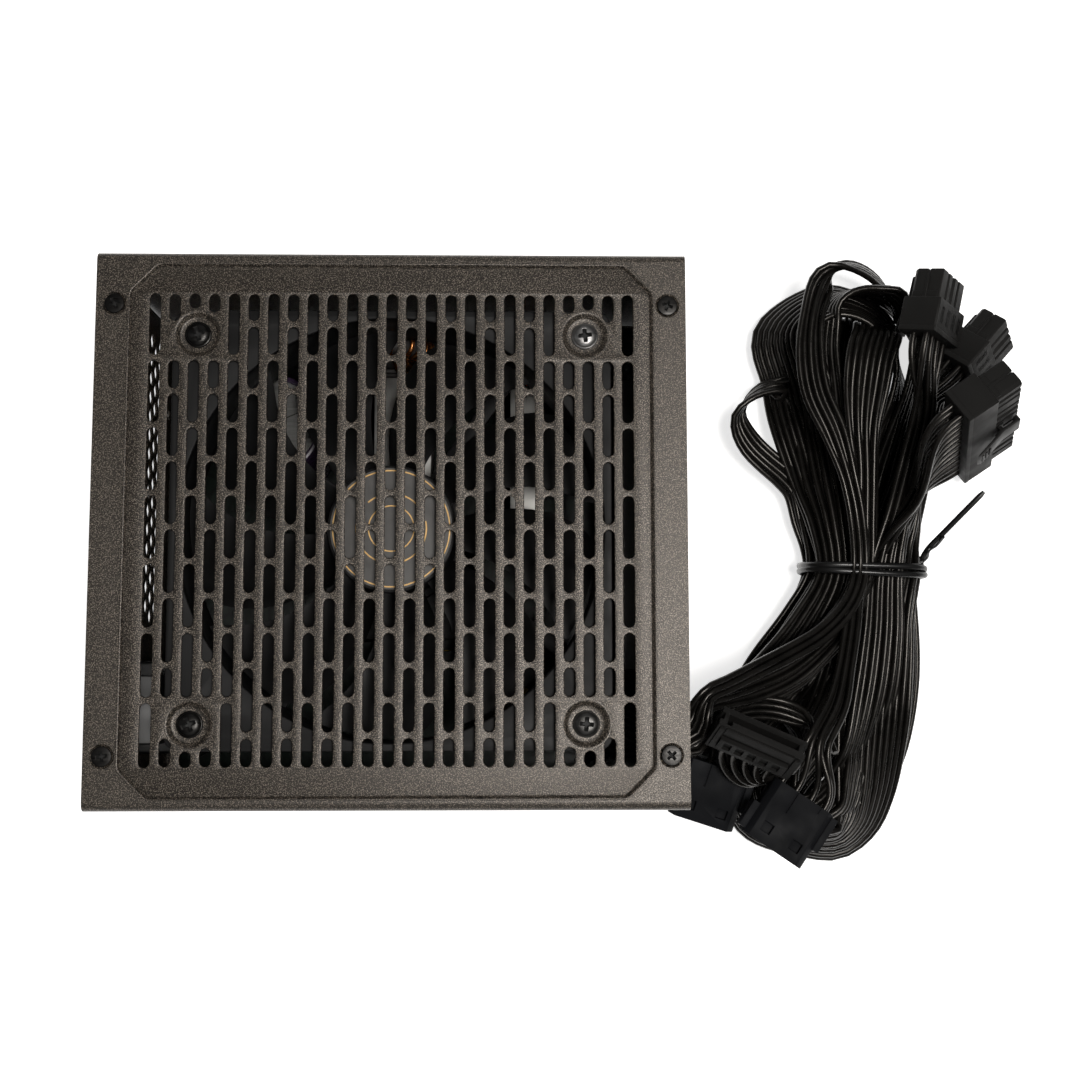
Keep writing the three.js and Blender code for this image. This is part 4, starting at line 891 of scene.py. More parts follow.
def minifit(name, columns, side, at):
    """Wire-to-board plug with 4.2 mm pitch: a hood that the wires enter, and a nose of square and chamfered towers."""
    w = PITCH * (columns - 1) + 5.4
    b = Build()
    b.box(-w / 2 - 0.7, w / 2 + 0.7, -6, 6, 1.4, HOOD, 0.45)
    b.box(-w / 2 - 0.7, w / 2 + 0.7, -6, 6, 0.0, 1.75, 0.3)
    b.box(-w / 2 - 0.35, w / 2 + 0.35, -5.7, 5.7, 0.9, 2.2, 0.2)
    # shallow rib and step on the wide faces, and the thin web between the rows of towers
    for c in range(columns):
        x = (c - (columns - 1) / 2) * PITCH
        b.box(x - 1.15, x + 1.15, -6.0, -5.6, 3.2, 8.6, 0.12) if side > 0 else b.box(x - 1.15, x + 1.15, 5.6, 6.0, 3.2, 8.6, 0.12)
    b.box(-w / 2 + 0.4, w / 2 - 0.4, -0.5, 0.5, HOOD - 0.4, HOOD + NOSE - 2.0, 0.15)
    b.box(-w / 2 + 0.5, w / 2 - 0.5, -4.2, 4.2, HOOD - 0.6, HOOD + 2.2, 0.3)
    ramp = 4.62 * side
    b.box(-2.9, 2.9, min(ramp - 0.1 * side, ramp + 0.38 * side), max(ramp - 0.1 * side, ramp + 0.38 * side), HOOD - 0.2, HOOD + 3.6, 0.12)
    for c in range(columns):
        for r in (-1, 1):
            x, y = (c - (columns - 1) / 2) * PITCH, r * 2.42
            h = 1.98
            hy = 2.28
            chamfered = (c * 2 + (r > 0)) % 3 != 1
            cut = 1.05 if chamfered else 0.3
            # only the corners that face outwards are chamfered
            o = [(-h, -hy), (h, -hy), (h, hy), (-h, hy)]
            cs = [cut if (r < 0) else 0.3, cut if (r < 0) else 0.3, cut if (r > 0) else 0.3, cut if (r > 0) else 0.3]
            outer = [(-h + cs[0], -hy), (h - cs[1], -hy), (h, -hy + cs[1]), (h, hy - cs[2]), (h - cs[2], hy), (-h + cs[3], hy), (-h, hy - cs[3]), (-h, -hy + cs[0])]
            i = 1.38
            ic = 0.55 if chamfered else 0.12
            ics = [ic if (r < 0) else 0.12, ic if (r < 0) else 0.12, ic if (r > 0) else 0.12, ic if (r > 0) else 0.12]
            inner = [(-i + ics[0], -i), (i - ics[1], -i), (i, -i + ics[1]), (i, i - ics[2]), (i - ics[2], i), (-i + ics[3], i), (-i, i - ics[3]), (-i, -i + ics[0])]
            n, z0, z1 = 8, HOOD - 0.3, HOOD + NOSE
            rings = [(outer, 1.0, z0), (outer, 1.0, z1 - 0.45), (outer, 0.93, z1 - 0.1), (outer, 0.88, z1), (inner, 1.06, z1), (inner, 1.0, z1 - 0.3), (inner, 1.0, z1 - 6.2)]
            vs, fs = [], []
            for pts, k, z in rings:
                vs += [(x + px * k, y + py * k, z) for px, py in pts]
            for l in range(len(rings) - 1):
                for q in range(n):
                    p = (q + 1) % n
                    fs.append((l * n + q, l * n + p, (l + 1) * n + p, (l + 1) * n + q))
            fs.append(tuple(reversed(range(n))))
            fs.append(tuple(range((len(rings) - 1) * n, len(rings) * n)))
            b.add(vs, fs)
            # the metal contact down in the well
            b.box(x - 0.85, x + 0.85, y - 0.85, y + 0.85, z1 - 6.3, z1 - 3.4, 0.2, k=1)
    return (b, at)


def placed(b, at):
    b.v = [tuple(at @ Vector(p)) for p in b.v]
    return b


def latch_lever(side):
    p = [(1.2, 9.55), (2.0, 10.0), (4.5, 9.55), (8.5, 8.55), (12.2, 7.6), (14.5, 7.48), (18.3, 7.4), (18.8, 7.1), (18.8, 5.35), (18.3, 5.2), (17.5, 5.25), (17.0, 6.4), (12.9, 6.4), (12.9, 5.35), (11.6, 5.35), (11.6, 6.55), (9.0, 7.5), (5.0, 8.5)]
    b = Build()
    b.prism([(z, y) for z, y in p], -3.5, 3.5, 0.22)
    turn = Matrix(((0, 0, side < 0 and 1 or -1), (0, side, 0), (1, 0, 0)))
    b.v = [tuple(turn @ Vector(v)) for v in b.v]
    # grip ribs on the thumb pad
    for k in range(3):
        z = 2.6 + 1.5 * k
        y = 9.98 - 0.24 * k
        c = Build()
        c.box(-2.6, 2.6, min(side * (y - 0.35), side * (y + 0.2)), max(side * (y - 0.35), side * (y + 0.2)), z, z + 0.7, 0.12)
        b.add(c.v, c.f)
    return b


plug_pieces = {}
for key, (columns, side, at) in PLUGS.items():
    b, _ = minifit(key, columns, side, at)
    plug_pieces[key] = placed(b, at).piece(key + "_plug", [NYLON, PINM], "connector_nylon", replaces=(key + "_connector",), angle=38)
    lv = placed(latch_lever(side), at)
    plug_pieces[key + "_latch"] = lv.piece(key + "_lever", LATCHM, "connector_nylon", body=key + "_latch", replaces=(key + "_latch",), angle=38)


def sata_plug(name, at, node):
    body = bx(-13.2, 13.2, -3.2, 3.2, 0, 12.6)
    cuts = [bx(-11, 11, -0.9, 1.2, 6.6, 14), bx(-11, -9.4, -2.4, 1.21, 6.6, 14.1),
            bx(-13.6, -12.2, -1.2, 1.2, 7.5, 14), bx(12.2, 13.6, -1.2, 1.2, 7.5, 14),
            bx(-8.0, 8.0, 2.6, 4, 8.2, 10.6)]
    adds = [bx(-13.2, 13.2, 2.9, 4.2, 0, 5.5), bx(-10.5, 10.5, -4.6, -3.0, 2.4, 7.5), bx(-12.4, -11.0, -3.9, -3.0, 1.0, 11.6), bx(11.0, 12.4, -3.9, -3.0, 1.0, 11.6), bx(-10.5, 10.5, -3.7, -3.0, 9.0, 12.2)]
    ob = hard(name, body, NYLON, replaces=(node,), cuts=cuts, adds=adds, bevel=0, at=None)
    for k, i in enumerate(range(5)):
        other = solid_object("t", bx(-8.9 + i * 3.8, -6.5 + i * 3.8, -5.5, -3.7, 3.4, 6.7))
        md = ob.modifiers.new("b", "BOOLEAN")
        md.operation, md.solver, md.object = "DIFFERENCE", "EXACT", other
        applied(ob)
        bpy.data.objects.remove(other)
    mt = at.copy()
    mt.translation *= S
    ob.data.transform(mt)
    md = ob.modifiers.new("r", "BEVEL")
    md.width, md.segments, md.limit_method, md.angle_limit = 0.00018, 2, "ANGLE", math.radians(38)
    applied(ob)
    for poly in ob.data.polygons:
        poly.use_smooth = True
    ob.data.set_sharp_from_angle(angle=math.radians(32))
    c = Build()
    for i in range(15):
        x = -8.9 + i * 1.27
        c.box(x - 0.4, x + 0.4, -0.88, -0.45, 7.2, 12.0, 0.1)
    contacts = placed(c, at).piece(name + "_contacts", PINM, "bright_screw", angle=30)
    return ob, contacts


def molex_plug(name, at, node):
    body = Build()
    body.prism([(-10.3, -4.2), (10.3, -4.2), (10.3, 2.2), (8.3, 4.2), (-8.3, 4.2), (-10.3, 2.2)], 0, 18.6)
    adds = [bx(-12.1, -10.0, -2.2, 3.0, 9, 17.6), bx(10.0, 12.1, -2.2, 3.0, 0.6, 12)]
    cuts = []
    for i in range(4):
        c = Build()
        c.prism(circle(1.9, (i - 1.5) * 5.08, 0, 20), 9, 20)
        cuts.append(c)
        c = Build()
        c.prism(circle(2.1, (i - 1.5) * 5.08, 0, 16), -1, 2.5)
        cuts.append(c)
    for x in (-6.4, 3.6):
        cuts.append(bx(x, x + 3.2, 3.0, 5, 12.4, 15.4))
    cuts.append(bx(-2.85, -2.35, 3.7, 5, -1, 7.2))
    cuts.append(bx(5.3, 5.7, 3.85, 5, -1, 2.2))
    adds.append(bx(-9.6, 9.6, -4.2, 3.0, 17.9, 18.9))
    ob = hard(name, body, NYLON_BLUE, replaces=(node,), cuts=[*cuts], adds=adds[:2], bevel=0.22, at=at)
    c = Build()
    for i in range(4):
        c.lathe([(1.2, 9.3), (1.25, 13.5), (1.05, 16.4), (0.85, 16.6), (0.85, 10)], 16, at=Matrix.Translation(((i - 1.5) * 5.08, 0, 0)))
    contacts = placed(c, at).piece(name + "_contacts", PINM, "bright_screw", angle=40)
    return ob, contacts


plug_pieces["sata1"], plug_pieces["sata1_c"] = sata_plug("sata_plug_1", SATA1, "sata_connector_1")
plug_pieces["sata2"], plug_pieces["sata2_c"] = sata_plug("sata_plug_2", SATA2, "sata_connector_2")
plug_pieces["molex1"], plug_pieces["molex1_c"] = molex_plug("molex_plug_1", MOLEX1, "molex_connector_1")
plug_pieces["molex2"], plug_pieces["molex2_c"] = molex_plug("molex_plug_2", MOLEX2, "molex_connector_2")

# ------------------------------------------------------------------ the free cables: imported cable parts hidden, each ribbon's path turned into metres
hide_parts("cable_lead", "cable_hank_lower", "cable_waist", "cable_hank_upper")
for name, (count, ob, line, length, ends) in CORDS.items():
    path = [tuple(c * S for c in p) for p in line]

# ------------------------------------------------------------------ fan cover
def sheet_from(outline, holes, thick, rim=0.0, steps=2):
    """A flat sheet in X, Y, centred on z = 0, with holes and, if rim is given, rolled edges. Returns its mesh, in millimetres."""
    cu = bpy.data.curves.new("outline", "CURVE")
    cu.dimensions, cu.fill_mode = "2D", "BOTH"
    for pts in [outline, *holes]:
        sp = cu.splines.new("POLY")
        sp.points.add(len(pts) - 1)
        for q, (x, y) in zip(sp.points, pts):
            q.co = (x, y, 0, 1)
        sp.use_cyclic_u = True
    if rim:
        cu.extrude, cu.bevel_depth, cu.bevel_resolution = thick / 2 - rim, rim, steps
        cu.offset = -rim
    else:
        cu.extrude = thick / 2
    ob = bpy.data.objects.new("outline", cu)
    scene.collection.objects.link(ob)
    dg = bpy.context.evaluated_depsgraph_get()
    dg.update()
    me = bpy.data.meshes.new_from_object(ob.evaluated_get(dg))
    bm = bmesh.new()
    bm.from_mesh(me)
    bmesh.ops.remove_doubles(bm, verts=bm.verts, dist=0.002)
    bmesh.ops.recalc_face_normals(bm, faces=bm.faces)
    bm.to_mesh(me)
    bm.free()
    bpy.data.objects.remove(ob)
    bpy.data.curves.remove(cu)
    verts = [tuple(v.co) for v in me.vertices]
    faces = [tuple(p.vertices) for p in me.polygons]
    bpy.data.meshes.remove(me)
    return verts, faces


SLOT_W, SLOT_L, PX, PY = 3.0, 16.94, 5.342, 18.44


def stadium(x, y0, y1, w=SLOT_W, n=7):
    r = w / 2
    pts = [(x + r * math.cos(math.pi * i / n), y1 - r + r * math.sin(math.pi * i / n)) for i in range(n + 1)]
    pts += [(x + r * math.cos(math.pi + math.pi * i / n), y0 + r + r * math.sin(math.pi + math.pi * i / n)) for i in range(n + 1)]
    return pts


def grille_slots():
    out, half = [], SLOT_L / 2
    for c in range(25):
        x, edge = (c - 12) * PX, min(c, 24 - c)
        if c % 2 == 0:
            for k in range(-3, 4):
                y = k * PY
                if edge == 2 and abs(k) == 3:
                    out.append(stadium(x, 59.6, 63.8) if k > 0 else stadium(x, -63.8, -59.6))
                else:
                    out.append(stadium(x, y - half, y + half))
        else:
            for s in (-1, 1):
                for k in (0.5, 1.5, 2.5):
                    a, b = k * PY - half, k * PY + half
                    if k == 2.5 and edge in (1, 3):
                        b = 45.3
                    out.append(stadium(x, a, b) if s > 0 else stadium(x, -b, -a))
                a = 58.6 if edge == 3 else 56.2
                out.append(stadium(x, a, 63.6) if s > 0 else stadium(x, -63.6, -a))
    return out


def octo(hx, hy, c, r=0.0, n=6):
    """Octagon with its corners rounded."""
    p = [(-hx + c, -hy), (hx - c, -hy), (hx, -hy + c), (hx, hy - c), (hx - c, hy), (-hx + c, hy), (-hx, hy - c), (-hx, -hy + c)]
    out = []
    for i in range(8):
        a, b, d = Vector(p[i - 1]), Vector(p[i]), Vector(p[(i + 1) % 8])
        u, w = (a - b).normalized(), (d - b).normalized()
        ang = u.angle(w)
        k = r / math.tan(ang / 2)
        s, e = b + u * k, b + w * k
        for j in range(n + 1):
            t = j / n
            q = s * (1 - t) ** 2 + b * (2 * t * (1 - t)) + e * t * t
            out.append((q.x, q.y))
    return out


TOPZ, PANZ, SH = 86.0, 85.4, 0.8
def arc_strip(c1, c2, r_out, r_in, a0, a1, lo, hi, axis, n=8):
    """A bent strip of sheet: a quarter ring in the plane across axis ('x' or 'y'), from lo to hi along it. c1 is its centre across, c2 its height."""
    vs, fs = [], []
    for i in range(n + 1):
        a = a0 + (a1 - a0) * i / n
        for r in (r_out, r_in):
            for e in (lo, hi):
                h, z = c1 + r * math.cos(a), c2 + r * math.sin(a)
                vs.append((e, h, z) if axis == "x" else (h, e, z))
    for i in range(n):
        p, q = i * 4, (i + 1) * 4
        fs += [(p, q, q + 1, p + 1), (p + 2, p + 3, q + 3, q + 2), (p, p + 2, q + 2, q), (p + 1, q + 1, q + 3, p + 3)]
    fs += [(0, 1, 3, 2), (n * 4, n * 4 + 2, n * 4 + 3, n * 4 + 1)]
    return vs, fs


def fixed(b):
    """The same faces, all facing outwards."""
    me = bpy.data.meshes.new("t")
    me.from_pydata([tuple(p) for p in b.v], [], b.f)
    bm = bmesh.new()
    bm.from_mesh(me)
    bmesh.ops.recalc_face_normals(bm, faces=bm.faces)
    bm.to_mesh(me)
    bm.free()
    b.v, b.f = [tuple(v.co) for v in me.vertices], [tuple(p.vertices) for p in me.polygons]
    b.k = [0] * len(b.f)
    bpy.data.meshes.remove(me)
    return b


INNER, OUTER = octo(69.7, 70.6, 7.1, 2.6, 6), octo(71.5, 72.4, 7.85, 3.6, 6)
cover = Build()
screw_seats = [(sx * 52.5, sy * 52.5) for sx in (-1, 1) for sy in (-1, 1)]
v, f = sheet_from(octo(70.2, 71.3, 7.4, 3.0, 4), grille_slots() + [circle(6.2, x, y, 40) for x, y in screw_seats], SH, 0.22, 2)
cover.add([(x, y, z + PANZ - SH / 2) for x, y, z in v], f)
v, f = sheet_from([(-80, -72.9), (80, -72.9), (80, 72.9), (-80, 72.9)], [OUTER] + [circle(3.3, sx * 75, sy * 60.75, 28) for sx in (-1, 1) for sy in (-1, 1)], SH)
cover.add([(x, y, z + TOPZ - SH / 2) for x, y, z in v], f)
# the pressed step between rim and panel, both faces of the sheet
n = len(INNER)
prof = [(0.0, TOPZ), (0.12, TOPZ + 0.06), (0.26, TOPZ + 0.05), (0.38, TOPZ - 0.08), (0.5, TOPZ - 0.42), (0.6, TOPZ - 0.74), (0.72, TOPZ - 0.86), (0.84, TOPZ - 0.78), (1.0, PANZ)]
vs, fs = [], []
loop = [(t, z + 0.004) for t, z in prof] + [(t, z - SH) for t, z in reversed(prof)]
for t, z in loop:
    vs += [(a[0] + (b_[0] - a[0]) * t, a[1] + (b_[1] - a[1]) * t, z) for a, b_ in zip(OUTER, INNER)]
rows = len(loop)
for l in range(rows):
    for i in range(n):
        j, q = (i + 1) % n, ((l + 1) % rows) * n
        fs.append((l * n + i, l * n + j, q + j, q + i))
cover.add(vs, fs)
# bends and side walls
for s in (-1, 1):
    a0, a1 = (0, math.pi / 2) if s > 0 else (math.pi / 2, math.pi)
    v, f = arc_strip(s * 72.9, 83.7, 2.3, 1.5, a0, a1, -80, 80, "x", 9)
    cover.add(v, f)
    y0, y1 = sorted((s * 75.2, s * 74.4))
    cover.box(-80, 80, y0, y1, 0.3, 83.7, 0.12)
for x, y in screw_seats:
    prof = [(2.7, 83.4), (6.0, 83.4), (6.5, 84.6), (6.72, 84.8), (6.72, 85.404), (6.4, 85.42), (6.1, 85.36), (5.75, 85.14), (5.4, 84.7), (5.1, 84.34), (4.8, 84.2), (3.9, 84.16), (2.7, 84.16)]
    cover.lathe(prof, 40, at=Matrix.Translation((x, y, 0)), closed=True)
# dimple round each cover screw
for sx in (-1, 1):
    for sy in (-1, 1):
        prof = [(1.75, 84.6), (3.0, 84.9), (3.5, 85.3), (3.72, 85.5), (3.72, 86.006), (3.5, 85.98), (3.3, 85.86), (3.1, 85.66), (2.4, 85.2), (1.75, 84.95)]
        cover.lathe(prof, 28, at=Matrix.Translation((sx * 75, sy * 60.75, 0)), closed=True)
COVER = fixed(cover).piece("fan_cover", COAT, "case_coat", replaces=("top_cover",), angle=40)


# ------------------------------------------------------------------ tray: floor, mains panel, cable panel
def upright(verts, x0):
    """Turns a sheet made in X, Y to stand in Y, Z at x0."""
    return [(x0 + z, x, y) for x, y, z in verts]


HX, HY, HTOP = 80.0, 73.9, 84.9
hexes = []
PITCH_H, FLATS = 5.9, 4.2
rowp, R = PITCH_H * 0.8660254, FLATS / math.sqrt(3)
ATX = [(-69, 80), (69, 80), (-69, 16), (45, 6)]
r_, z = 0, 10.5 + R
while z + R <= 76:
    y = -23.5 + FLATS / 2 + (PITCH_H / 2 if r_ % 2 else 0)
    while y + FLATS / 2 <= 68:
        if all(math.hypot(y - a, z - b_) >= 7 for a, b_ in ATX):
            hexes.append(circle(R, y, z, 6, math.pi / 2))
        y += PITCH_H
    z += rowp
    r_ += 1
rect = lambda a, b_, c, d: [(a, c), (b_, c), (b_, d), (a, d)]
tray = Build()
v, f = sheet_from([(-HY + 0.1, 2.2), (HY - 0.1, 2.2), (HY - 0.1, HTOP - 2.0), (HY - 2.1, HTOP - 0.4), (-HY + 2.1, HTOP - 0.4), (-HY + 0.1, HTOP - 2.0)],
                  hexes + [circle(1.6, a, b_, 20) for a, b_ in ATX] + [rect(-62.9, -35.1, 19.75, 40.25), rect(-58.9, -39.1, 55.3, 68.7)], SH, 0.12, 1)
tray.add(upright(v, -HX + SH / 2), f)
v, f = sheet_from([(-HY + 0.1, 2.2), (HY - 0.1, 2.2), (HY - 0.1, HTOP - 2.0), (HY - 2.1, HTOP - 0.4), (-HY + 2.1, HTOP - 0.4), (-HY + 0.1, HTOP - 2.0)],
                  [circle(13.1, -56, 34, 40)], SH, 0.12, 1)
tray.add(upright(v, HX - SH / 2), f)
# the floor with its bends, the lips inside the cover, the top flanges
posts = [(sx * 66, sy * 62) for sx in (-1, 1) for sy in (-1, 1)]
v, f = sheet_from([(-77.8, -71.8), (77.8, -71.8), (77.8, 71.8), (-77.8, 71.8)], [circle(1.8, x, y, 16) for x, y in posts], SH)
tray.add([(x, y, z_ + SH / 2) for x, y, z_ in v], f)
for s in (-1, 1):
    a0, a1 = (-math.pi / 2, 0) if s > 0 else (math.pi, 1.5 * math.pi)
    v, f = arc_strip(s * 77.8, 2.2, 2.2, 1.4, a0, a1, -HY + 0.4, HY - 0.4, "y")
    tray.add(v, f)
    v, f = arc_strip(s * 71.7, 2.2, 2.2, 1.4, a0, a1, -77.8, 77.8, "x")
    tray.add(v, f)
    y0, y1 = sorted((s * 73.9, s * 73.1))
    tray.box(-78.8, 78.8, y0, y1, 2.2, 12, 0.12)
    x0, x1 = sorted((s * 71.3, s * 79.6))
    v, f = sheet_from(rect(x0, x1, -71.6, 71.6), [circle(1.8, s * 75, t * 60.75, 16) for t in (-1, 1)], SH)
    tray.add([(x, y, z_ + HTOP - SH / 2) for x, y, z_ in v], f)
for x, y in posts:
    tray.lathe([(1.75, 0.5), (3.4, 0.5), (3.4, 0.9), (3.0, 6.6), (2.6, 7.6), (1.75, 7.6)], 20, at=Matrix.Translation((x, y, 0)), closed=True)
TRAY = fixed(tray).piece("case_tray", COAT, "case_coat", replaces=("base_tray", "mains_panel", "cable_panel"), angle=40)


# ------------------------------------------------------------------ screws
def cross_tool(w, l, z0, z1):
    """A Phillips cross, narrower at its bottom."""
    b = Build()
    for turn in (0, 1):
        top, bot = (l / 2, w / 2), (l / 2 * 0.45, w / 2 * 0.7)
        vs = []
        for (hx, hy), z in ((bot, z0), (top, z1)):
            for x, y in ((-hx, -hy), (hx, -hy), (hx, hy), (-hx, hy)):
                vs.append((x, y, z) if not turn else (-y, x, z))
        b.add(vs, [(3, 2, 1, 0), (4, 5, 6, 7), (0, 1, 5, 4), (1, 2, 6, 5), (2, 3, 7, 6), (3, 0, 4, 7)])
    return b


def two_cuts(w, l, z0, z1):
    b = cross_tool(w, l, z0, z1)
    a, c = Build(), Build()
    a.add(b.v[:8], b.f[:6])
    c.add(b.v[8:], [tuple(i - 8 for i in q) for q in b.f[6:]])
    return [a, c]


def shade_recess(ob, at, w, l, top):
    """The faces inside the cross get a near-black material: painted shade in the recess."""
    ob.data.materials.append(RECESS_PAINTED_SHADE)
    back = at.inverted()
    for poly in ob.data.polygons:
        c = back @ (poly.center / S)
        if c.z < top - 0.22 and c.z > top - 2.2 and ((abs(c.x) < l / 2 and abs(c.y) < w * 0.56) or (abs(c.y) < l / 2 and abs(c.x) < w * 0.56)):
            poly.material_index = 1


def screw(name, node, x, y, head, z0, cross, mat, turn):
    b = Build()
    b.lathe(head, 32)
    b.f = [q for q in b.f]
    at = Matrix.Translation((x, y, z0)) @ Matrix.Rotation(turn, 4, "Z")
    ob = hard(name, b, mat, replaces=(node,), cuts=two_cuts(*cross), bevel=0.07, seg=1, at=at, angle=28)
    shade_recess(ob, at, cross[0], cross[1], head[-1][1])


order = [(-1, 1), (1, 1), (1, -1), (-1, -1)]
f0 = PANZ - 1.2 + 0.12
for k, (sx, sy) in enumerate(order):
    head = [(0.01, -9), (2.2, -9), (2.2, 0.0), (3.5, 0.0), (3.62, 0.12), (3.62, 0.42), (3.45, 0.62), (3.2, 0.66), (3.12, 0.8), (3.0, 1.12), (2.6, 1.45), (1.8, 1.65), (0.9, 1.73), (0.01, 1.75)]
    mt = (BLACKS, SILVER, STEELG, BLACKS)[k]
    screw("fan_mount_screw_%d" % (k + 1), "fan_screw_%d" % (k + 1), sx * 52.5, sy * 52.5, head, f0, (1.15, 4.5, 0.35, 2.1), mt, (0.3, 0.12, -0.08, 0.42)[k])
    head = [(0.01, -7), (1.35, -7), (1.35, -1.3), (2.6, -0.12), (2.72, 0.02), (2.72, 0.12), (2.55, 0.26), (1.9, 0.36), (0.01, 0.4)]
    screw("cover_fix_screw_%d" % (k + 1), "cover_screw_%d" % (k + 1), sx * 75, sy * 60.75, head, 86.0, (0.8, 3.2, -0.75, 0.6), BLACKS, (0.5, -0.35, 0.72, 0.2)[k])


# ------------------------------------------------------------------ what sits in the panels: inlet, switch, grommet
def out_of(x0, y, z, t):
    """Frame on a wall: its Z points out of the case, its Y points up."""
    m = Matrix(((0, 0, t), (t, 0, 0), (0, 1, 0))).to_4x4()
    m.translation = Vector((x0, y, z))
    return m


def rrect(hx, hy, r, n=5, x=0.0, y=0.0):
    out = []
    for cx, cy, a0 in ((hx - r, -hy + r, -90), (hx - r, hy - r, 0), (-hx + r, hy - r, 90), (-hx + r, -hy + r, 180)):
        out += [(x + cx + r * math.cos(math.radians(a0 + 90 * i / n)), y + cy + r * math.sin(math.radians(a0 + 90 * i / n))) for i in range(n + 1)]
    return out


def slab(outline, z0, z1):
    b = Build()
    b.prism(outline, z0, z1)
    return b


AT = out_of(-80, -49, 30, -1)
flange = slab(rrect(15.5, 12, 1.4), 0.3, 1.7)
inlet_body = slab(rrect(13.6, 9.95, 1.0), -20, 0.9)
cavity = slab([(-12.2, -8.3), (12.2, -8.3), (12.2, 4.3), (8.2, 8.3), (-8.2, 8.3), (-12.2, 4.3)], -17, 5)
hard("mains_inlet", flange, PANELP, replaces=("ac_inlet",), first=[inlet_body],
     cuts=[cavity] + [bx(u - 1.3, u + 1.3, v_ - 2.3, v_ + 2.3, -21, -15) for u, v_ in ((-7, -2), (7, -2), (0, 2))], bevel=0.3, seg=2, at=AT)
for name, u, v_ in (("ac_pin_live", 7, -2), ("ac_pin_neutral", -7, -2), ("ac_pin_earth", 0, 2)):
    b = Build()
    vs, fs = [], []
    rings = [(1.0, 2.0, -27), (1.0, 2.0, -4.2), (0.85, 1.85, -3.0), (0.45, 1.45, -2.1), (0.3, 1.3, -2.0)]
    for hx, hy, z in rings:
        vs += [(u + x, v_ + y, z) for x, y in rrect(hx, hy, 0.25 * min(1, hx), 2)]
    n = len(vs) // len(rings)
    for l in range(len(rings) - 1):
        fs += [(l * n + i, l * n + (i + 1) % n, (l + 1) * n + (i + 1) % n, (l + 1) * n + i) for i in range(n)]
    fs += [tuple(reversed(range(n))), tuple(range((len(rings) - 1) * n, len(rings) * n))]
    b.add(vs, fs)
    placed(b, AT).piece("blade_" + name[7:], PINM, "bright_screw", replaces=(name,), angle=40)

AT = out_of(-80, -49, 62, -1)
hard("switch_bezel", slab(rrect(11.2, 8.2, 1.2), 0.3, 1.3), PANELP, replaces=("switch_housing",), first=[slab(rrect(9.6, 6.4, 0.6), -15, 0.7)],
     cuts=[slab(rrect(8.5, 4.9, 0.5), -6.8, 3)], bevel=0.28, seg=2, at=AT)
u_ = [(-7.6, -1.5), (-7.6, 2.6), (-7.2, 3.12), (-6.4, 2.92), (-4, 2.12), (-2, 1.8), (0, 1.7), (2, 1.8), (4, 2.12), (6.4, 2.92), (7.2, 3.12), (7.6, 2.6), (7.6, -1.5), (3, -4.5), (-3, -4.5)]
rk = Build()
rk.prism(u_, -4.5, 4.5, 0.35)
basis = Matrix(((0, -1, 0), (1, 0, 0), (0, 0, 1))).to_4x4()
at = Matrix.Translation((-79, -49, 62)) @ Matrix.Rotation(math.radians(-10), 4, "Z") @ basis
placed(rk, at).piece("rocker_button", ROCKERP, "rocker_plastic", body="rocker", replaces=("switch_rocker",), angle=30)

AT = out_of(0, -56, 34, 1)
gr = Build()
gr.lathe([(10.8, 76.2), (11.3, 75.9), (13.9, 75.9), (14.4, 76.4), (14.4, 78.6), (14.2, 78.9), (12.7, 78.9), (12.7, 80.3), (15.3, 80.3), (15.6, 80.6), (15.6, 81.4), (15.3, 81.8), (14.5, 82.4), (13.7, 83.1), (13.1, 83.4), (11.6, 83.45), (11.0, 83.2), (10.8, 82.6)], 56, at=AT, closed=True)
for i in range(8):  # grip nibs on the collar
    a = 2 * math.pi * (i + 0.5) / 8
    gr.box(14.2, 15.2, -0.8, 0.8, 81.0, 82.35, 0.2, at=AT @ Matrix.Rotation(a, 4, "Z"))
gr.piece("cable_bushing", PANELP, "panel_plastic", replaces=("cable_grommet",), angle=38)


# ------------------------------------------------------------------ fan
F0, F1 = 58.0, 83.0
frame_b = Build()
fo = []
for cx, cy, a0 in ((1, -1, -90), (1, 1, 0), (-1, 1, 90), (-1, -1, 180)):
    fo += [(cx * 55.4 + 4.4 * math.cos(math.radians(a0 + 15 * i)), cy * 55.4 + 4.4 * math.sin(math.radians(a0 + 15 * i))) for i in range(7)]
for za, zb in ((F0, F0 + 3.4), (F1 - 3.4, F1)):
    v, f = sheet_from(fo, [circle(57.75, n=120)] + [circle(2.65, x, y, 20) for x, y in screw_seats], zb - za, 0.35, 2)
    frame_b.add([(x, y, z + (za + zb) / 2) for x, y, z in v], f)
frame_b.lathe([(57.75, F0 + 0.3), (58.9, F0 + 0.3), (59.1, F0 + 1), (59.1, F1 - 1), (58.9, F1 - 0.3), (57.75, F1 - 0.3)], 120, closed=True)
for x, y in screw_seats:
    frame_b.lathe([(2.65, F0 + 0.4), (4.4, F0 + 0.4), (4.4, F1 - 0.4), (2.65, F1 - 0.4)], 24, at=Matrix.Translation((x, y, 0)), closed=True)
frame_b.lathe([(0.01, F0), (19.0, F0), (19.5, F0 + 0.4), (19.5, F0 + 1.8), (19.1, F0 + 2.2), (4.6, F0 + 2.2), (4.4, F0 + 2.5), (4.3, F0 + 14), (3.3, F0 + 14), (3.3, F0 + 2.2), (0.01, F0 + 2.2)], 64)
for i in range(4):
    a = math.pi / 4 + i * math.pi / 2 + 0.18
    frame_b.box(17.6, 58.6, -2.1, 2.1, F0, F0 + 2.6, 0.4, at=Matrix.Rotation(a, 4, "Z"))
fixed(frame_b).piece("fan_housing", FANM, "fan_plastic", replaces=("fan_frame",), angle=38)

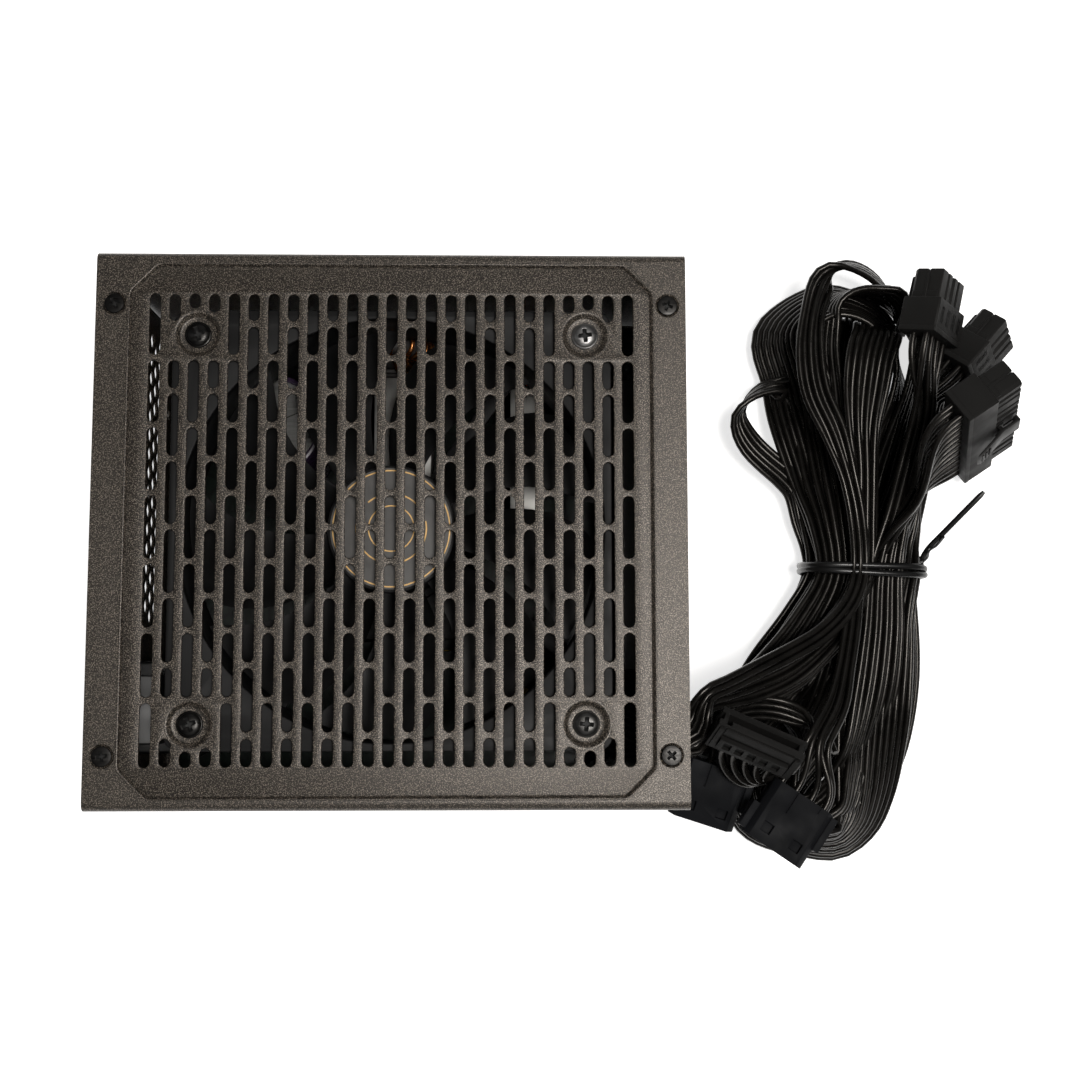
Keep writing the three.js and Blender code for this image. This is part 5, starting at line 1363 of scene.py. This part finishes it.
rot = Build()
t_ = F0 + 23
rot.lathe([(15.0, F0 + 4.4), (17.3, F0 + 4.4), (17.5, F0 + 4.6), (17.5, t_ - 0.9), (17.25, t_ - 0.25), (16.7, t_), (0.01, t_), (0.01, t_ - 1.9), (1.9, t_ - 1.9), (1.9, t_ - 6), (3.4, t_ - 6), (3.4, t_ - 2.2), (15.0, t_ - 2.2)], 72, closed=True)


def blade(turn):
    NR, NC = 14, 12
    vs, fs = [], []
    rows = []
    for i in range(NR + 1):
        t = i / NR
        r = 16.5 + (56.2 - 16.5) * t
        sweep, chord = -0.30 * t * t, 0.50 + 0.02 * t
        ring = []
        for side in (1, 0):
            for j in (range(NC + 1) if side else range(NC, -1, -1)):
                u = j / NC
                # the leading and trailing edges are rounded, the tip corners too
                edge = min(u, 1 - u) * NC
                th = 1.3 * (0.35 if edge < 0.5 else 0.85 if edge < 1.5 else 1.0)
                uu = 0.5 + (u - 0.5) * (1 - 0.10 * max(0, (t - 0.86) / 0.14) ** 2)
                a = turn + sweep + chord * (uu - 0.5) * 1.12
                z = F0 + 5 + (15 - 3 * t) * (1 - uu) + 1.6 * math.sin(math.pi * uu) + 0.65 + (th / 2 if side else -th / 2)
                ring.append((r * math.cos(a), r * math.sin(a), z))
        rows.append(ring)
    n = len(rows[0])
    for ring in rows:
        vs += ring
    for l in range(NR):
        for i in range(n):
            j = (i + 1) % n
            fs.append((l * n + i, l * n + j, (l + 1) * n + j, (l + 1) * n + i))
    half = NC + 1
    for l, flip in ((0, False), (NR, True)):
        for j in range(NC):
            q = (l * n + j, l * n + j + 1, l * n + n - 2 - j, l * n + n - 1 - j)
            fs.append(q[::-1] if flip else q)
    rot.add(vs, fs)


for i in range(9):
    blade(2 * math.pi * i / 9)
fixed(rot).piece("fan_impeller", FANM, "fan_plastic", body="fan", replaces=("fan_rotor",), angle=40)


def label_paper():
    mt = Mat("hub_label_foil", (0.05, 0.048, 0.045), 0.42, 0.1)
    mt.vary(160, (0.038, 0.036, 0.034), (0.056, 0.053, 0.050))
    mt.rough_vary(300, 0.28, 0.4)
    mt.bump(mt.noise(900, 2.0), 0.06, 0.00003)
    return mt.m


def gold_ink():
    mt = Mat("hub_label_gold", (0.55, 0.33, 0.11), 0.4, 0.3)
    mt.vary(240, (0.42, 0.25, 0.08), (0.60, 0.37, 0.13))
    mt.bump(mt.noise(1100, 2.0), 0.05, 0.00003)
    return mt.m


LABEL, GOLD = label_paper(), gold_ink()
lb = Build()
lt = t_ + 0.3 + 0.3
lb.lathe([(0.01, lt - 0.3), (16.5, lt - 0.3), (16.6, lt - 0.22), (16.6, lt - 0.06), (16.5, lt), (0.01, lt)], 96)


def flat_ring(r0, r1, a0=0.0, a1=2 * math.pi, z0=lt - 0.02, z1=lt + 0.03, k=1):
    n = max(6, int(96 * (a1 - a0) / (2 * math.pi)))
    whole = a1 - a0 > 6.28
    vs, fs = [], []
    m_ = n if whole else n + 1
    for i in range(m_):
        a = a0 + (a1 - a0) * i / n
        for r, z in ((r0, z0), (r1, z0), (r1, z1), (r0, z1)):
            vs.append((r * math.cos(a), r * math.sin(a), z))
    for i in range(n):
        p, q = i * 4, ((i + 1) % m_) * 4
        for s in range(4):
            w = (s + 1) % 4
            fs.append((p + s, q + s, q + w, p + w))
    if not whole:
        fs += [(0, 1, 2, 3), (n * 4 + 3, n * 4 + 2, n * 4 + 1, n * 4)]
    lb.add(vs, fs, k)


flat_ring(15.65, 16.0)
flat_ring(9.3, 9.7, 0.4, 2.3)
flat_ring(9.3, 9.7, 2.5, 4.4)
flat_ring(9.3, 9.7, 4.6, 6.5)
flat_ring(6.0, 6.35)
lb.piece("hub_sticker", [LABEL, GOLD], "hub_label", body="fan", replaces=("fan_hub_label",), angle=30)

mg = Build()
mg.lathe([(12.9, 63.2), (13.1, 63), (14.3, 63), (14.5, 63.2), (14.5, 73.8), (14.3, 74), (13.1, 74), (12.9, 73.8)], 64, closed=True)
mg.piece("rotor_magnet", MAGNET, "magnet", body="fan", replaces=("fan_magnet_ring",))
sf = Build()
sf.lathe([(0.01, 61), (1.2, 61), (1.5, 61.3), (1.5, 63.5), (1.35, 63.6), (1.35, 64.0), (1.5, 64.1), (1.5, 78.5), (1.3, 78.7), (0.01, 78.7)], 24)
sf.piece("rotor_shaft", SILVER, "bright_screw", body="fan", replaces=("fan_shaft",))
br = Build()
br.lathe([(1.85, 61.2), (2.05, 61), (2.75, 61), (2.95, 61.2), (2.95, 70.8), (2.75, 71), (2.05, 71), (1.85, 70.8)], 24, closed=True)
br.piece("sleeve_bearing", BRONZE, "bearing_bronze", replaces=("fan_bearing",))
st = Build()
for i in range(4):
    a = math.pi / 2 * i
    for k in range(6):
        z = 63.9 + k * 1.1
        pts = [(6.2, -2.6, z), (10.6, -2.9, z), (10.6, 2.9, z), (6.2, 2.6, z)]
        ring_ = spline([*pts, pts[0], pts[1]], 0.8)[0]
        st.sweep([(Matrix.Rotation(a, 4, "Z") @ Vector(p[:3])) for p in ring_], 0.5, 6)
    st.box(4.9, 11.6, -2.0, 2.0, 63.4, 69.8, 0.3, k=1, at=Matrix.Rotation(a, 4, "Z"))
st.lathe([(4.8, 63.4), (6.4, 63.4), (6.4, 69.8), (4.8, 69.8)], 24, closed=True, k=1)
st.piece("stator_coils", [COPPER, BLACKS], "copper_winding", replaces=("fan_stator",), angle=40)
ld = Build()
path, _ = spline([(15, -14, 56.4), (20, -24, 55), (24.5, -34, 48), (26, -37.5, 30), (26, -38, 10.4)], 1.5)
for dx in (-0.62, 0.62):
    ld.sweep([(x + dx * 0.9, y + dx * 0.4, z) for x, y, z in path], 0.58, 8)
ld.piece("fan_wires", CABLE, "cable_pvc", replaces=("fan_lead",))


# ------------------------------------------------------------------ circuit board and what stands on it
def board_mat():
    mt = Mat("solder_mask", (0.02, 0.05, 0.03), 0.42)
    tracks = mt.ramp(mt.voronoi(160, "DISTANCE_TO_EDGE"), [(0.04, (0.006, 0.012, 0.009)), (0.12, (0.011, 0.022, 0.016))])
    mt.color_from(mt.mix(tracks, mt.ramp(mt.noise(60), [(0.3, (0.85, 0.85, 0.85)), (0.7, (1.1, 1.1, 1.1))]), 1.0, "MULTIPLY"))
    mt.rough_vary(90, 0.3, 0.5)
    mt.bump(mt.voronoi(160, "DISTANCE_TO_EDGE"), 0.15, 0.00008)
    return mt.m


def sleeve_mat():
    mt = Mat("capacitor_sleeve", (0.03, 0.018, 0.04), 0.26)
    mt.vary(80, (0.022, 0.013, 0.032), (0.042, 0.026, 0.056))
    mt.rough_vary(200, 0.2, 0.34)
    mt.bump(mt.noise(90, 3.0, stretch=(1, 1, 0.2)), 0.12, 0.0001)
    return mt.m


def ferrite_mat():
    mt = Mat("ferrite", (0.035, 0.034, 0.034), 0.55, 0.15)
    mt.vary(700, (0.026, 0.025, 0.025), (0.05, 0.049, 0.048))
    mt.bump(mt.noise(1300, 3.0), 0.35, 0.00006)
    return mt.m


def tape_mat():
    mt = Mat("winding_tape", (0.62, 0.47, 0.09), 0.36)
    mt.vary(50, (0.50, 0.37, 0.06), (0.68, 0.53, 0.12), stretch=(1, 1, 6))
    mt.rough_vary(120, 0.26, 0.42)
    mt.bump(mt.noise(60, 2.0, stretch=(1, 1, 14)), 0.3, 0.0001)
    return mt.m


def film_mat():
    mt = Mat("film_capacitor_epoxy", (0.55, 0.36, 0.06), 0.38)
    mt.vary(120, (0.46, 0.29, 0.045), (0.62, 0.42, 0.08))
    mt.bump(mt.noise(500, 3.0), 0.2, 0.00006)
    return mt.m


def sheet_mat():
    mt = Mat("insulating_film", (0.03, 0.03, 0.03), 0.3)
    mt.vary(40, (0.022, 0.022, 0.024), (0.04, 0.04, 0.04))
    mt.bump(mt.noise(300, 2.0), 0.1, 0.00008)
    return mt.m


BOARD, SLEEVE, FERRITE, TAPE, FILM, SHEETM = board_mat(), sleeve_mat(), ferrite_mat(), tape_mat(), film_mat(), sheet_mat()
CANTOP = metal("can_end", (0.16, 0.16, 0.155), 0.5, 0.3)
BOBBIN = plastic("bobbin_resin", (0.02, 0.018, 0.016), 0.45, 900, 0.15)

FB = 9.9


def at_xy(x, y, z=0.0):
    return Matrix.Translation((x, y, z))


v, f = sheet_from([(-72, -69), (72, -69), (72, 69), (-72, 69)], [circle(1.9, x, y, 16) for x, y in posts], 1.6, 0.12, 1)
pb = Build()
pb.add([(x, y, z + 8.8) for x, y, z in v], f)
fixed(pb).piece("board_laminate", BOARD, "circuit_board", replaces=("main_pcb",), angle=30)
v, f = sheet_from([(-74, -70), (74, -70), (74, 70), (-74, 70)], [circle(4.2, x, y, 20) for x, y in posts], 0.5, 0.1, 1)
pb = Build()
pb.add([(x, y, z + 1.65) for x, y, z in v], f)
fixed(pb).piece("board_insulation", SHEETM, "insulation", replaces=("insulating_sheet",), angle=30)
for k, (x, y) in enumerate(posts):
    b = Build()
    b.lathe([(0.01, 3.5), (1.4, 3.5), (1.4, FB), (2.9, FB), (2.95, FB + 0.3), (2.75, FB + 1.0), (2.2, FB + 1.6), (1.2, FB + 1.88), (0.01, FB + 1.9)], 28)
    shade_recess(hard("board_screw_%d" % (k + 1), b, SILVER, replaces=("pcb_screw_%d" % (k + 1),), cuts=two_cuts(0.8, 3.2, FB + 0.7, FB + 3), bevel=0.06, seg=1, at=at_xy(x, y), angle=28), at_xy(x, y), 0.8, 3.2, FB + 1.9)


def can(name, node, x, y, r, h, k):
    b = Build()
    b.lathe([(0.01, FB), (r - 0.6, FB), (r - 0.1, FB + 0.6), (r - 0.1, FB + 1.2), (r - 0.5, FB + 1.9), (r - 0.1, FB + 2.7), (r, FB + 3.2), (r, FB + h - 0.9), (r - 0.3, FB + h - 0.25), (r - 0.9, FB + h), (r - 1.5, FB + h - 0.05), (r - 1.8, FB + h - 0.35)], 48, at=at_xy(x, y), caps=False)
    b.lathe([(r - 1.7, FB + h - 0.6), (r - 1.75, FB + h - 0.3), (r * 0.5, FB + h - 0.28), (0.01, FB + h - 0.28)], 48, k=1, at=at_xy(x, y), caps=False)
    for j in range(3):  # the vent score
        b.box(0.3, r * 0.62, -0.16, 0.16, FB + h - 0.3, FB + h - 0.2, 0.04, k=2, at=at_xy(x, y) @ Matrix.Rotation(2 * math.pi * j / 3 + 0.4, 4, "Z"))
    b.piece(name, [SLEEVE, CANTOP, BLACKS], "capacitor_sleeve", replaces=(node,), angle=30)


can("bulk_can", "bulk_capacitor", -38, 34, 15, 42, 0)
can("output_can", "output_capacitor", 50, -3, 5, 26, 1)

core = Build()
for y0, y1 in ((-17, 17),):
    core.box(-20, -13.5, y0, y1, FB + 4, FB + 34, 0.6, at=at_xy(4, -12))
    core.box(13.5, 20, y0, y1, FB + 4, FB + 34, 0.6, at=at_xy(4, -12))
    core.box(-19.6, 19.6, y0, y1, FB + 4, FB + 9, 0.6, at=at_xy(4, -12))
    core.box(-19.6, 19.6, y0, y1, FB + 29, FB + 34, 0.6, at=at_xy(4, -12))
    core.box(-6, 6, y0, y1, FB + 5, FB + 33, 0.4, at=at_xy(4, -12))
core.piece("power_transformer_core", FERRITE, "ferrite", replaces=("transformer_core",), angle=35)
wd = Build()
wd.prism(rrect(12.9, 20, 4.5, 6), FB + 10.4, FB + 27.6, 0.5, at=at_xy(4, -12))
wd.prism(rrect(13.0, 20, 2.0, 4), FB + 9.5, FB + 10.5, 0.2, k=1, at=at_xy(4, -12))
wd.prism(rrect(13.0, 20, 2.0, 4), FB + 27.5, FB + 28.5, 0.2, k=1, at=at_xy(4, -12))
for k in range(5):
    z = FB + 12.2 + k * 3.1
    wd.prism(rrect(13.05, 20.12, 4.5, 6), z, z + 0.35, 0.1, at=at_xy(4, -12))
wd.piece("power_transformer_winding", [TAPE, BOBBIN], "winding_tape", replaces=("transformer_winding",), angle=35)
sb = Build()
sb.box(-10, 10, -8, 8, FB, FB + 3, 0.4, k=1, at=at_xy(30, -52))
sb.prism(rrect(8.5, 9, 2.5, 4), FB + 2.6, FB + 17, 0.4, k=0, at=at_xy(30, -52))
sb.box(-10, -7.8, -4.5, 4.5, FB + 5, FB + 20, 0.3, k=2, at=at_xy(30, -52))
sb.box(7.8, 10, -4.5, 4.5, FB + 5, FB + 20, 0.3, k=2, at=at_xy(30, -52))
sb.box(-10, 10, -4.5, 4.5, FB + 16.6, FB + 20, 0.3, k=2, at=at_xy(30, -52))
sb.piece("standby_supply_transformer", [TAPE, BOBBIN, FERRITE], "winding_tape", replaces=("standby_transformer",), angle=35)


def toroid(b, R, r, turns, m, wire=0.62, k_core=1, k_wire=0, gap=0.0, start=0.0):
    """A ring core with copper turns round it; its axis is Z of m."""
    vs, fs = [], []
    N, M_ = 48, 14
    rc = r - 2 * wire
    for i in range(N):
        a = 2 * math.pi * i / N
        for j in range(M_):
            p = 2 * math.pi * j / M_
            rx, rz = rc * math.cos(p), rc * math.sin(p)
            rx, rz = max(-rc * 0.86, min(rc * 0.86, rx)), max(-rc * 0.9, min(rc * 0.9, rz))
            vs.append((((R + rx) * math.cos(a)), ((R + rx) * math.sin(a)), rz))
    for i in range(N):
        for j in range(M_):
            p, q = (i + 1) % N, (j + 1) % M_
            fs.append((i * M_ + j, p * M_ + j, p * M_ + q, i * M_ + q))
    b.add(vs, fs, k_core, m)
    span = 2 * math.pi - gap
    pts = []
    steps = 14
    for s in range(turns * steps + 1):
        a = start + gap / 2 + span * s / (turns * steps)
        p = 2 * math.pi * s / steps
        rr = rc + wire
        rx, rz = rr * math.cos(p), rr * math.sin(p)
        pts.append(m @ Vector(((R + rx) * math.cos(a), (R + rx) * math.sin(a), rz)))
    vs0 = len(b.v)
    b.sweep(pts, wire, 7, k_wire, up=(0.3, 0.2, 0.93))


ch = Build()
upright_m = at_xy(-5.5, 58, FB + 32) @ Matrix.Rotation(math.pi / 2, 4, "X")
toroid(ch, 10.5, 4.6, 26, upright_m, 0.66, gap=0.5, start=-math.pi / 2)
ch.box(-6, 6, -4, 4, FB, FB + 19.5, 0.5, k=2, at=at_xy(-5.5, 58))
ch.box(-9, 9, -5.2, 5.2, FB + 12.5, FB + 18.0, 1.2, k=2, at=at_xy(-5.5, 58))
ch.piece("pfc_coil", [COPPER, FERRITE, BOBBIN], "copper_winding", replaces=("pfc_choke",), angle=60)
oi = Build()
toroid(oi, 7.6, 3.9, 20, at_xy(36, 58.4, FB + 4.2), 0.6, gap=0.3)
oi.piece("output_coil", [COPPER, FERRITE], "copper_winding", replaces=("output_inductor",), angle=60)
ec = Build()
upright_m = at_xy(-50, -8, FB + 13.2) @ Matrix.Rotation(math.pi / 2, 4, "X")
toroid(ec, 8.5, 4.2, 22, upright_m, 0.6, gap=0.8, start=-math.pi / 2)
ec.box(-9, 9, -6, 6, FB, FB + 2.4, 0.4, k=2, at=at_xy(-50, -8))
ec.box(-6, 6, -4.4, 4.4, FB + 2.2, FB + 5.6, 0.6, k=2, at=at_xy(-50, -8))
ec.piece("line_filter_coil", [COPPER, FERRITE, BOBBIN], "copper_winding", replaces=("emi_choke",), angle=60)
xc = Build()
xc.prism(rrect(5, 10, 0.8, 4, -56, 57), FB, FB + 20, 0.6)
xc.box(-60.3, -51.7, 47.8, 66.2, FB + 19.6, FB + 20.0, 0.15)
xc.piece("suppression_capacitor", FILM, "film_capacitor", replaces=("x_capacitor",), angle=35)


def sink(name, node, plate, top, fins_):
    b = Build()
    b.box(*plate, 0.25)
    b.box(*top, 0.25)
    for one in fins_:
        b.box(*one, 0.2)
    b.piece(name, ALU, "heatsink", replaces=(node,), angle=35)


def fin_rows(x0, x1, y0, y1, z0, z1, along, n):
    out = []
    for i in range(n):
        t = i / (n - 1)
        if along == "x":
            x = x0 + (x1 - x0 - 1.2) * t
            out.append((x, x + 1.2, y0, y1, z0, z1))
        else:
            y = y0 + (y1 - y0 - 1.2) * t
            out.append((x0, x1, y, y + 1.2, z0, z1))
    return out


sink("primary_cooler", "primary_heatsink", (-10, -7.5, 12, 48, FB, FB + 41.5), (-10, 9, 12, 48, FB + 39, FB + 41.5), fin_rows(-7.6, 9, 12, 48, FB + 28, FB + 39.3, "x", 8))
sink("secondary_cooler", "secondary_heatsink", (61, 63.5, -38, 47, FB, FB + 44), (61, 69, -38, 47, FB + 41.5, FB + 44), fin_rows(61, 69, -38, 47, FB + 30, FB + 42, "y", 15))
sink("rectifier_cooler", "rectifier_heatsink", (30, 32.5, 8, 46, FB, FB + 40), (30, 42, 8, 46, FB + 37.5, FB + 40), fin_rows(32.4, 42, 8, 46, FB + 26, FB + 38, "y", 10))


# ------------------------------------------------------------------ floor, light
def floor():
    n, half = 24, 1.6
    bm = bmesh.new()
    bmesh.ops.create_grid(bm, x_segments=n, y_segments=n, size=half)
    me = bpy.data.meshes.new("studio_floor")
    bm.to_mesh(me)
    bm.free()
    ob = bpy.data.objects.new("studio_floor", me)
    ob.location = (0.03, 0, -0.0006)
    scene.collection.objects.link(ob)
    mt = Mat("studio_white", (0.93, 0.93, 0.93), 0.85, 0.0, 0.1)
    mt.vary(6, (0.925, 0.925, 0.925), (0.94, 0.94, 0.94))
    mt.b.inputs["Emission Color"].default_value = (1, 1, 1, 1)
    mt.b.inputs["Emission Strength"].default_value = 0.70
    ob.data.materials.append(mt.m)


floor()


def area(name, loc, target, size, power, color=(1, 1, 1), size_y=None):
    li = bpy.data.lights.new(name, "AREA")
    li.energy, li.color = power, color
    li.shape = "RECTANGLE"
    li.size, li.size_y = size, size_y or size
    ob = bpy.data.objects.new(name, li)
    ob.location = loc
    ob.rotation_euler = (Vector(target) - Vector(loc)).to_track_quat("-Z", "Y").to_euler()
    scene.collection.objects.link(ob)


area("key", (0.30, -0.10, 1.22), (0.06, 0, 0.03), 0.38, 12.2, (1, 0.972, 0.938))
area("far", (0.05, 1.3, 1.1), (0.03, 0, 0.03), 0.8, 0.9)
area("near", (-0.1, -1.3, 1.1), (0.03, 0, 0.03), 0.8, 1.0)
area("left", (-1.3, 0.1, 0.9), (0.03, 0, 0.03), 0.8, 0.7)
world = bpy.data.worlds.new("studio")
world.use_nodes = True
bg = world.node_tree.nodes["Background"]
bg.inputs["Color"].default_value = (1, 1, 1, 1)
bg.inputs["Strength"].default_value = 0.08
scene.world = world
scene.view_settings.view_transform = "Standard"
